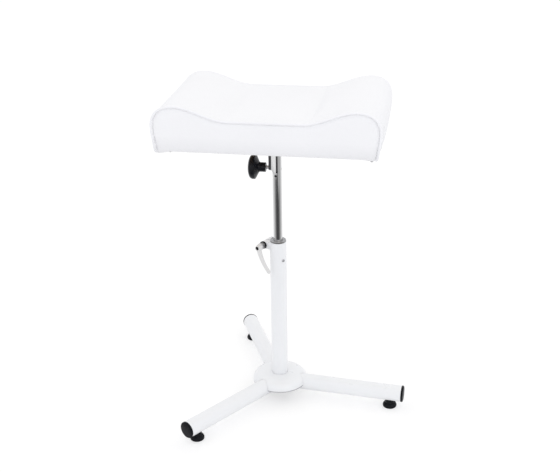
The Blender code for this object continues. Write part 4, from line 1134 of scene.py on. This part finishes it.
def margin_rings(cushion, underside):
    """Sections of the turned vinyl: thin along the sides and folded thick at the corners."""
    outer, inner, near = margin_loops(cushion, underside)
    rings = []
    for out, into, corner in zip(outer, inner, near):
        fold = max(0, 1 - corner / (25 * MM)) ** 0.6
        ridge = 0.5 + 0.5 * math.cos(2 * math.pi * corner / (8 * MM))
        thick = underside.thickness + fold * (0.7 + 0.7 * ridge) * MM
        section = (
            (0, 0.9 * MM), (0, 0.2 * MM), (0.03, -0.7 * thick), (0.1, -thick), (0.4, -thick),
            (0.7, -0.98 * thick), (0.95, -0.9 * thick), (1, -0.6 * thick), (1, -0.03 * MM), (0.5, -0.03 * MM),
        )
        ring = []
        for across, height in section:
            x, y = out.lerp(into, across)
            ring.append(cushion_place(x, y, height - float(hang(cushion, x, y))))
        rings.append(ring)
    return rings


def staple_form(underside):
    """One staple: a flat wire crown with its ends bent into the vinyl, its top facing Z."""
    half, wide = underside.staple_width / 2, 0.6 * MM
    bend = in_mm(((0, -0.8, 0.5, -0.8), (0, 0.1, 0.5, 0.1), (0.6, 0.35, 0.6, 0)))
    left = [(x - half, z, near - half, low) for x, z, near, low in bend]
    right = [(-x, z, -near, low) for x, z, near, low in left[::-1]]
    rings = []
    for x, z, near, low in left + right:
        rings.append([(x, -wide, z), (x, wide, z), (near, wide, low), (near, -wide, low)])
    return new_piece("staple_form", skin_rings(rings))


def tack_form(underside):
    """One domed tack head, its top facing Z."""
    radius, height = underside.tack_diameter / 2, underside.tack_height
    profile = [(0, 0), (radius * 0.9, 0), (radius, 0.12 * height)]
    for step in range(1, 6):
        turn = math.pi / 2 * step / 6
        profile.append((radius * math.cos(turn), height * (0.12 + 0.88 * math.sin(turn))))
    return new_piece("tack_form", lathe([*profile, (0, height)], 20))


# Fixings


HEAD_CROWN = ((0.97, 0), (1, 0.06), (1, 0.45), (0.95, 0.68), (0.84, 0.85), (0.66, 0.95), (0.4, 1), (0, 1))


def driven_head(name, diameter, height, shank, thick, recess):
    """A screw with a domed head and a cross or six-sided recess, its head facing Z from Z = 0."""
    crown = [(diameter / 2 * x, height * z) for x, z in HEAD_CROWN]
    screw = new_piece(name, lathe([(0, -shank), (thick / 2, -shank), (thick / 2, 0), *crown], 32))
    floor, over = 0.38 * height, 1.4 * height
    if recess == "socket":
        across = 0.3 * diameter
        cut(screw, new_piece("recess", lathe([(0, floor), (across, floor), (across, over), (0, over)], 6)))
        return screw
    for turn in (0, 90):
        bm = unit_cube()
        for vert in bm.verts:
            taper = 1 if vert.co.z > 0 else 0.55
            vert.co.x *= 0.62 * diameter * taper
            vert.co.y *= 0.17 * diameter
            vert.co.z = floor if vert.co.z < 0 else over
        bm.transform(Matrix.Rotation(math.radians(turn), 4, "Z"))
        cut(screw, new_piece("recess", bm))
    return screw


def merged_copy(node, name):
    """A new piece with a CAD node's form, its loose triangles joined."""
    bm = bmesh.new()
    bm.from_mesh(NODES[node].data)
    bmesh.ops.remove_doubles(bm, verts=bm.verts, dist=MERGE)
    return new_piece(name, bm)


def weld_line(side):
    """Where a clamp lug meets the column: along its top, down its outer edge and back along its underside."""
    half = size_of("clamp_lug_front").z / 2
    foot = on_column(CLAMP_AXIS.z)
    outward = (CLAMP_AXIS - foot).normalized()
    flat = [(part, half) for part in np.linspace(1.6 * MM, LUG_REACH, 8)]
    upright = [(LUG_REACH, rise) for rise in np.linspace(half, -half, 12)[1:-1]]
    line = []
    for part, rise in flat + upright + [(part, -rise) for part, rise in flat[::-1]]:
        out = math.sqrt(COLUMN_RADIUS ** 2 - part ** 2)
        line.append(foot + outward * out + CLAMP_WAY * side * part + UP * rise)
    return line


# Operators


FLOOR_HALF = 9
FLAGS_HEIGHT = 4 * MM
FLAGS_INNER, FLAGS_OUTER = 0.3, 7
LIGHT_AIM = Vector((0, 0, 0.3))


class FOOTREST_OT_stage(bpy.types.Operator):
    """Sets up the floor, the soft lights and the camera"""
    bl_idname = "footrest.stage"
    bl_label = "Stage"

    def execute(self, context):
        stage = context.scene.footrest_stage
        self.set_floor(stage)
        self.set_flags(stage)
        self.set_lights(context.scene, stage)
        self.set_surround(context.scene, stage)
        self.set_camera(context.scene, stage)
        return {"FINISHED"}

    def set_floor(self, stage):
        finish = Finish("studio_floor")
        low = tuple(part * 0.99 for part in stage.floor)
        cloud = noise(finish.tree, finish.place, 3, 3)
        tint = blend_colours(finish.tree, cloud, rgba(low), rgba(stage.floor))
        finish.set(base_color=tint, roughness=0.9, specular_ior_level=0.0)
        self.lift_shade(finish, stage)
        bm = bmesh.new()
        bmesh.ops.create_grid(bm, x_segments=1, y_segments=1, size=FLOOR_HALF)
        new_piece("floor", bm, finish.material)

    def lift_shade(self, finish, stage):
        """Shows the shade on the floor paler than the one that lights the stand from below."""
        tree = finish.tree
        pale = put(tree, "ShaderNodeEmission", {"Strength": BACKDROP}).outputs[0]
        seen = put(tree, "ShaderNodeLightPath").outputs["Is Camera Ray"]
        inputs = {0: product(tree, seen, stage.shade_lift), 1: finish.shader.outputs[0], 2: pale}
        feed(tree, finish.output, {"Surface": put(tree, "ShaderNodeMixShader", inputs).outputs[0]})

    def set_flags(self, stage):
        """A field on the floor that only reflections see: dark before the stand, light round it."""
        finish = Finish("studio_flags")
        tree = finish.tree
        foot = vector_node(tree, "SUBTRACT", finish.place, tuple(on_column(0)))
        parts = axes_of(tree, foot)
        turn = math_node(tree, "ARCTAN2", parts[1], parts[0])
        from_front = math_node(tree, "SUBTRACT", turn, stage.azimuth - math.pi / 2)
        away = math_node(tree, "ARCCOSINE", math_node(tree, "COSINE", from_front))
        tone = span(tree, away, 0.2, 2.3, 0.045, 0.9, "SMOOTHSTEP")
        reach = vector_node(tree, "LENGTH", foot, output="Value")
        band = product(tree, span(tree, reach, 1.14, 1.18, 0, 1), span(tree, reach, 1.7, 2.1, 1, 0))
        left = span(tree, math_node(tree, "SINE", from_front), -0.5, 0.35, 1, 0)
        far = span(tree, reach, 0.93, 1.1, 0, 1)
        right = span(tree, from_front, 0.15, 0.45, 0, 0.48)
        for patch in (product(tree, band, left), product(tree, far, right)):
            tone = math_node(tree, "MAXIMUM", tone, patch)
        finish.set(base_color=tone, roughness=1.0)
        rings = [circle(radius, FLAGS_HEIGHT, 96) for radius in (FLAGS_INNER, FLAGS_OUTER)]
        flags = new_piece("flags", skin_rings(rings, closed_ends=False), finish.material)
        for ray in ("camera", "diffuse", "shadow", "transmission"):
            setattr(flags, f"visible_{ray}", False)

    def set_lights(self, scene, stage):
        lights = (
            ("overhead", stage.overhead, 7.0, (0, 1.0, 5.0), (1, 0.9, 0.5)),
            ("key", stage.key, 2.0, (1.7, -2.6, 2.3), (1, 1, 1)),
        )
        for name, power, size, place, tint in lights:
            lamp = assign(bpy.data.lights.new(name, "AREA"), energy=power, size=size, color=tint)
            holder = bpy.data.objects.new(name, lamp)
            scene.collection.objects.link(holder)
            holder.location = place
            holder.rotation_euler = (LIGHT_AIM - Vector(place)).to_track_quat("-Z", "Y").to_euler()

    def set_surround(self, scene, stage):
        """Light from all round, which the camera sees as a plain white ground."""
        scene.world = bpy.data.worlds.new("studio")
        scene.world.use_nodes = True
        tree = scene.world.node_tree
        tree.nodes.clear()
        around, backdrop = (
            put(tree, "ShaderNodeBackground", {"Color": rgba(tint), "Strength": strength}).outputs[0]
            for tint, strength in ((stage.surround_tint, stage.surround), (stage.floor, BACKDROP))
        )
        seen = put(tree, "ShaderNodeLightPath").outputs["Is Camera Ray"]
        mixed = put(tree, "ShaderNodeMixShader", {0: seen, 1: around, 2: backdrop}).outputs[0]
        put(tree, "ShaderNodeOutputWorld", {"Surface": mixed})
        scene.view_settings.view_transform = "Standard"

    def set_camera(self, scene, stage):
        side, rise, lean = stage.azimuth, stage.elevation, stage.roll
        back = Vector((math.sin(side) * math.cos(rise), -math.cos(side) * math.cos(rise), math.sin(rise)))
        right = Vector((math.cos(side), math.sin(side), 0))
        up = back.cross(right)
        level = math.cos(lean) * right + math.sin(lean) * up
        upright = -math.sin(lean) * right + math.cos(lean) * up
        matrix = Matrix((level, upright, back)).transposed().to_4x4()
        matrix.translation = on_column(0) + Vector(stage.target) + back * stage.distance
        lens = assign(bpy.data.cameras.new("camera"), lens=stage.lens, sensor_width=36, clip_end=50)
        camera = assign(bpy.data.objects.new("camera", lens), matrix_world=matrix)
        scene.collection.objects.link(camera)
        scene.camera = camera


class FOOTREST_OT_finish_solids(bpy.types.Operator):
    """Gives the CAD solids their finishes, smooth shading and slightly rounded edges"""
    bl_idname = "footrest.finish_solids"
    bl_label = "Finish Solids"

    def execute(self, context):
        look = finishes(context)
        for name, node in NODES.items():
            finish = look.get(name, look[SLOT_OF[name]])
            node.material_slots[0].material = finish
            modify(node, "joined", "WELD", merge_threshold=MERGE)
            if name in ROUNDED:
                modify(node, "flat_faces", "DECIMATE", decimate_type="DISSOLVE", angle_limit=LEVEL_ANGLE)
                modify(
                    node, "rounded", "BEVEL", width=ROUNDED[name] * MM, segments=2, limit_method="ANGLE",
                    angle_limit=EDGE_ANGLE,
                )
            add_tree(node, even_shading, Sharp_Angle=SHARP_ANGLE, Material=finish)
            if name in ROUNDED:
                modify(node, "large_faces_first", "WEIGHTED_NORMAL", weight=100, keep_sharp=True)
        return {"FINISHED"}


class FOOTREST_OT_cushion(bpy.types.Operator):
    """Makes the stuffed cover of the cushion"""
    bl_idname = "footrest.cushion"
    bl_label = "Cushion Cover"

    def execute(self, context):
        cushion = context.scene.footrest_cushion
        cover = make_cover(cushion, finishes(context)["white_vinyl"])
        hand_over(cover, "cushion", "white_vinyl", "cushion")
        return {"FINISHED"}


class FOOTREST_OT_piping(bpy.types.Operator):
    """Lays the piping in the front and the back seam"""
    bl_idname = "footrest.piping"
    bl_label = "Piping"

    def execute(self, context):
        cushion = context.scene.footrest_cushion
        skin = finishes(context)["piping_vinyl"]
        for name, side in (("front", -1), ("back", 1)):
            line = piping_with_ends(cushion, side)
            piping = sweep(f"{name}_piping", line, cushion.piping_diameter / 2, 16, 1.6 * MM, skin)
            hand_over(piping, "cushion", "piping_vinyl", f"piping_{name}")
        return {"FINISHED"}


class FOOTREST_OT_underside(bpy.types.Operator):
    """Turns the vinyl under the board, with its staples and tacks"""
    bl_idname = "footrest.underside"
    bl_label = "Underside"

    def execute(self, context):
        cushion = context.scene.footrest_cushion
        underside = context.scene.footrest_underside
        look = finishes(context)
        rings = margin_rings(cushion, underside)
        margin = new_piece("turned_margin", skin_rings(rings, loop=True), look["white_vinyl"])
        hand_over(smooth(margin, 60), "cushion", "white_vinyl")
        self.set_staples(cushion, underside, look)
        self.set_tacks(cushion, underside, look)
        return {"FINISHED"}

    def set_staples(self, cushion, underside, look):
        """A row of staples along the turned vinyl, but for the folded corners."""
        row = [
            cushion_place(*out.lerp(into, 0.66), -underside.thickness)
            for out, into, corner in zip(*margin_loops(cushion, underside)) if corner > 20 * MM
        ]
        staples = path_piece("staples", row, loop=True)
        form = staple_form(underside)
        run_tree(
            staples, set_along_path, Item=form, Pitch=underside.staple_pitch, Turn=underside.staple_turn,
            Seed=7, Material=look["zinc_steel"],
        )
        drop(form)
        hand_over(staples, "cushion", "zinc_steel")

    def set_tacks(self, cushion, underside, look):
        """One tack by each folded corner, a little uneven as set by hand."""
        half_x = cushion.width / 2 - cushion.draw_in
        half_y = cushion.depth / 2
        spots = []
        for side_x, side_y, inset in CORNER_TACKS:
            x = side_x * (half_x - inset * MM)
            y = side_y * (half_y - 9 * MM)
            place = cushion_place(x, y, -underside.thickness - float(hang(cushion, x, y)))
            spots.append((place, DOWN, RIGHT))
        set_copies("tacks", tack_form(underside), spots, look, "cushion", "zinc_steel")


class FOOTREST_OT_fixings(bpy.types.Operator):
    """Makes the screws with their recesses and the pin in the fork"""
    bl_idname = "footrest.fixings"
    bl_label = "Screws and Pin"

    def execute(self, context):
        look = finishes(context)
        self.set_plate_screws(look)
        self.set_bush_screw(look)
        self.set_lever_screw(look)
        self.set_pin(look)
        return {"FINISHED"}

    def set_plate_screws(self, look):
        names = nodes_named("plate_screw_")
        spots = []
        for count, name in enumerate(names):
            turn = math.radians(20 + 37 * count)
            place = middle_of(name)
            place.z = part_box("mounting_plate")[0].z - 0.05 * MM
            spots.append((place, DOWN, (math.cos(turn), math.sin(turn), 0)))
        head = driven_head("plate_screw_form", size_of(names[0]).x, 2.5 * MM, 2.5 * MM, 4 * MM, "cross")
        set_copies("plate_screws", head, spots, look, "cushion", "zinc_steel", *names)

    def set_bush_screw(self, look):
        middle = middle_of("bush_screw")
        foot = on_column(middle.z)
        out = (middle - foot).normalized()
        place = foot + out * (COLUMN_RADIUS - 0.05 * MM)
        heading = (UP + out.cross(UP) * 0.6).normalized()
        head = driven_head("bush_screw_form", size_of("bush_screw").z, 1.7 * MM, 3 * MM, 3 * MM, "cross")
        set_copies("column_screw", head, [(place, out, heading)], look, "base", "zinc_steel", "bush_screw")

    def set_lever_screw(self, look):
        spot = (CLAMP_AXIS + CLAMP_WAY * LEVER_HEAD_START, CLAMP_WAY, UP)
        wide = size_of("lever_screw").z
        head = driven_head("lever_screw_form", wide, 1.8 * MM, 12 * MM, 2.4 * MM, "socket")
        set_copies("lever_end_screw", head, [spot], look, "clamp_screw", "black_plastic", "lever_screw")

    def set_pin(self, look):
        """A dark pin in the small hole under the fork's slot, with its ends below the post's surface."""
        # The pin's dark steel also stands in for the shade inside the hole, which shows as a dark spot
        radius, half, lead = 2.25 * MM, 5.4 * MM, 0.5 * MM
        end = [(radius, half - lead), (radius - lead, half), (0, half)]
        bm = lathe([(out, -along) for out, along in end[::-1]] + end, 24)
        hole = TILT_AXIS - Vector((1.2 * MM, 0, 13 * MM))
        bm.transform(Matrix.Translation(hole) @ Matrix.Rotation(math.radians(90), 4, "X"))
        pin = new_piece("fork_pin", bm, look["dark_steel"])
        hand_over(smooth(pin), "post", "dark_steel")


class FOOTREST_OT_mouldings(bpy.types.Operator):
    """Makes the moulded knob, the leg caps, the glides and the clamp's ring"""
    bl_idname = "footrest.mouldings"
    bl_label = "Mouldings"

    def execute(self, context):
        look = finishes(context)
        self.make_knob(look)
        self.make_caps(look)
        self.make_glides(look)
        self.make_ring(look)
        return {"FINISHED"}

    def make_knob(self, look):
        """A mushroom knob: a neck with the stud's hole, a flared rim and a dome."""
        size, middle = size_of("tilt_knob"), middle_of("tilt_knob")
        rim, start = size.z / 2, 24.6 * MM
        edge, dome = rim - 0.9 * MM, size.x - start
        corners = in_mm((
            (0, 20.3, 0), (2.8, 20.3, 0), (2.8, 0, 0.3), (8.4, 0, 0.9), (8.4, 11.6, 2.4), (19.6, 17.2, 1.6),
        ))
        corners += [(rim, 18.6 * MM, 1.4 * MM), (rim, 23.4 * MM, 1.6 * MM)]
        turns = [math.pi / 2 * step / 16 for step in range(1, 16)]
        corners += [(edge * math.cos(turn), start + dome * math.sin(turn), 0) for turn in turns]
        bm = lathe(eased([*corners, (0, start + dome, 0)]), 96)
        middle.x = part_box("tilt_knob")[1].x
        bm.transform(Matrix.Translation(middle) @ Matrix.Rotation(math.radians(-90), 4, "Y"))
        knob = new_piece("moulded_knob", bm, look["knob_plastic"])
        hand_over(smooth(knob, 40), "knob", "knob_plastic", "tilt_knob")

    def make_caps(self, look):
        """A cap in each leg's end: a plug with a flange that is a little domed."""
        radius = size_of("leg_cap_right").z / MM / 2
        inside, lip = radius + 0.03, radius + 0.35
        corners = in_mm((
            (0, -16, 0), (11.7, -16, 0.8), (12.7, -13, 0), (12.7, 0.03, 0), (inside, 0.03, 0),
            (inside, -0.7, 0), (lip, -0.7, 0.12), (lip, 2.3, 0.8), (radius - 1.2, 3.2, 0.5),
            (0.5 * radius, 3.7, 2), (0, 3.8, 0),
        ))
        form = new_piece("leg_cap_form", lathe(eased(corners), 64))
        spots = []
        names = nodes_named("leg_cap_")
        for name in names:
            out = middle_of(name.replace("leg_cap", "glide")) - COLUMN_AXIS
            out.z = 0
            out.normalize()
            place = on_column(middle_of("leg_cap_right").z) + out * (LEG_REACH - 2 * MM)
            spots.append((place, out, UP))
        set_copies("leg_caps", form, spots, look, "base", "black_plastic", *names)

    def make_glides(self, look):
        """A glide under each leg: a pad with well rounded edges under a collar."""
        radius = size_of("glide_right").x / MM / 2
        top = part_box("glide_right")[1].z / MM
        corners = in_mm((
            (0, 0, 0), (radius, 0, 2.6), (radius, 5, 2), (radius - 2.6, 8.2, 1.4), (8.6, 8.6, 0.4),
            (8.3, top, 0.3), (4.5, top, 0), (0, top, 0),
        ))
        form = new_piece("glide_form", lathe(eased(corners), 64))
        names = [name for name in nodes_named("glide_") if "stem" not in name]
        spots = []
        for name in names:
            place = middle_of(name)
            place.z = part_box(name)[0].z
            spots.append((place, UP, RIGHT))
        set_copies("glides", form, spots, look, "base", "black_plastic", *names)

    def make_ring(self, look):
        """A soft ring between the lug and the lever, with a lip round the screw's collar."""
        radius = size_of("clamp_ring").z / MM / 2
        corners = in_mm((
            (3.4, 11.8, 0), (radius, 11.8, 0.4), (radius, 14.4, 0.5), (6.15, 14.4, 0.2), (6.15, 13.75, 0),
            (3.4, 13.75, 0),
        ))
        bm = lathe(eased(corners), 64, loop=True)
        bm.transform(Matrix.Translation(CLAMP_AXIS) @ CLAMP_WAY.to_track_quat("Z", "Y").to_matrix().to_4x4())
        ring = new_piece("soft_ring", bm, look["black_plastic"])
        hand_over(smooth(ring, 40), "clamp_screw", "black_plastic", "clamp_ring")


class FOOTREST_OT_clamp(bpy.types.Operator):
    """Makes the cast clamp lever, its spring and the weld beads of the clamp lugs"""
    bl_idname = "footrest.clamp"
    bl_label = "Lever and Welds"

    def execute(self, context):
        stand = context.scene.footrest_stand
        look = finishes(context)
        self.cast_lever(stand, look)
        for name, side in (("front", 1), ("rear", -1)):
            bead = sweep(
                f"{name}_lug_weld", weld_line(side), stand.weld_radius, 12, 0.35 * MM, look["white_paint"],
                ripple=0.1, pitch=stand.weld_pitch,
            )
            hand_over(bead, "base", "white_paint")
        self.set_spring(look)
        return {"FINISHED"}

    def cast_lever(self, stand, look):
        """The lever's own form with the soft edges of a casting."""
        lever = merged_copy("clamp_lever", "cast_lever")
        modify(lever, "cast", "REMESH", mode="VOXEL", voxel_size=stand.lever_mesh)
        modify(lever, "soft", "SMOOTH", factor=0.5, iterations=5)
        settle(lever)
        dress(lever, look["clamp_lever"])
        hand_over(smooth(lever, 60), "clamp_lever", "white_paint", "clamp_lever")

    def set_spring(self, look):
        """The spring under the lever's screw, a coil of wire along the clamp's axis."""
        wire, radius, turns, per_turn = 0.3 * MM, 2.8 * MM, 5, 16
        side = CLAMP_WAY.cross(UP).normalized()
        free = SPRING_END - SPRING_START
        line = []
        for step in range(turns * per_turn + 1):
            turn = 2 * math.pi * step / per_turn
            along = SPRING_START + wire + (free - 2 * wire) * step / (turns * per_turn)
            around = side * math.cos(turn) + UP * math.sin(turn)
            line.append(CLAMP_AXIS + CLAMP_WAY * along + radius * around)
        spring = sweep("coil_spring", line, wire, 8, 0.5 * MM, look["zinc_steel"])
        hand_over(spring, "clamp_lever", "zinc_steel", "lever_spring")
        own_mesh(spring)


class FOOTREST_PT_sidebar(bpy.types.Panel):
    """Settings and steps of the footrest's looks"""
    bl_idname = "FOOTREST_PT_sidebar"
    bl_label = "Footrest"
    bl_space_type = "VIEW_3D"
    bl_region_type = "UI"
    bl_category = "Footrest"

    def draw(self, context):
        for group in SETTINGS:
            settings = getattr(context.scene, group)
            box = self.layout.box()
            box.label(text=group.replace("footrest_", "").title())
            for name in settings.bl_rna.properties.keys():
                if name not in ("name", "rna_type"):
                    box.prop(settings, name)
        for step in STEPS:
            self.layout.operator(step.bl_idname)


STEPS = (
    FOOTREST_OT_stage, FOOTREST_OT_finish_solids, FOOTREST_OT_cushion, FOOTREST_OT_piping,
    FOOTREST_OT_underside, FOOTREST_OT_fixings, FOOTREST_OT_mouldings, FOOTREST_OT_clamp,
)
SETTINGS = {
    "footrest_cushion": FootrestCushion,
    "footrest_underside": FootrestUnderside,
    "footrest_stand": FootrestStand,
    "footrest_stage": FootrestStage,
}
CLASSES = (*SETTINGS.values(), *STEPS, FOOTREST_PT_sidebar)


def register():
    for kind in CLASSES:
        bpy.utils.register_class(kind)
    for name, kind in SETTINGS.items():
        setattr(bpy.types.Scene, name, PointerProperty(type=kind))


def unregister():
    for name in SETTINGS:
        delattr(bpy.types.Scene, name)
    for kind in reversed(CLASSES):
        bpy.utils.unregister_class(kind)


def main():
    register()
    bpy.ops.footrest.stage()
    bpy.ops.footrest.finish_solids()
    bpy.ops.footrest.cushion()
    bpy.ops.footrest.piping()
    bpy.ops.footrest.underside()
    bpy.ops.footrest.fixings()
    bpy.ops.footrest.mouldings()
    bpy.ops.footrest.clamp()


if __name__ == "__main__":
    main()
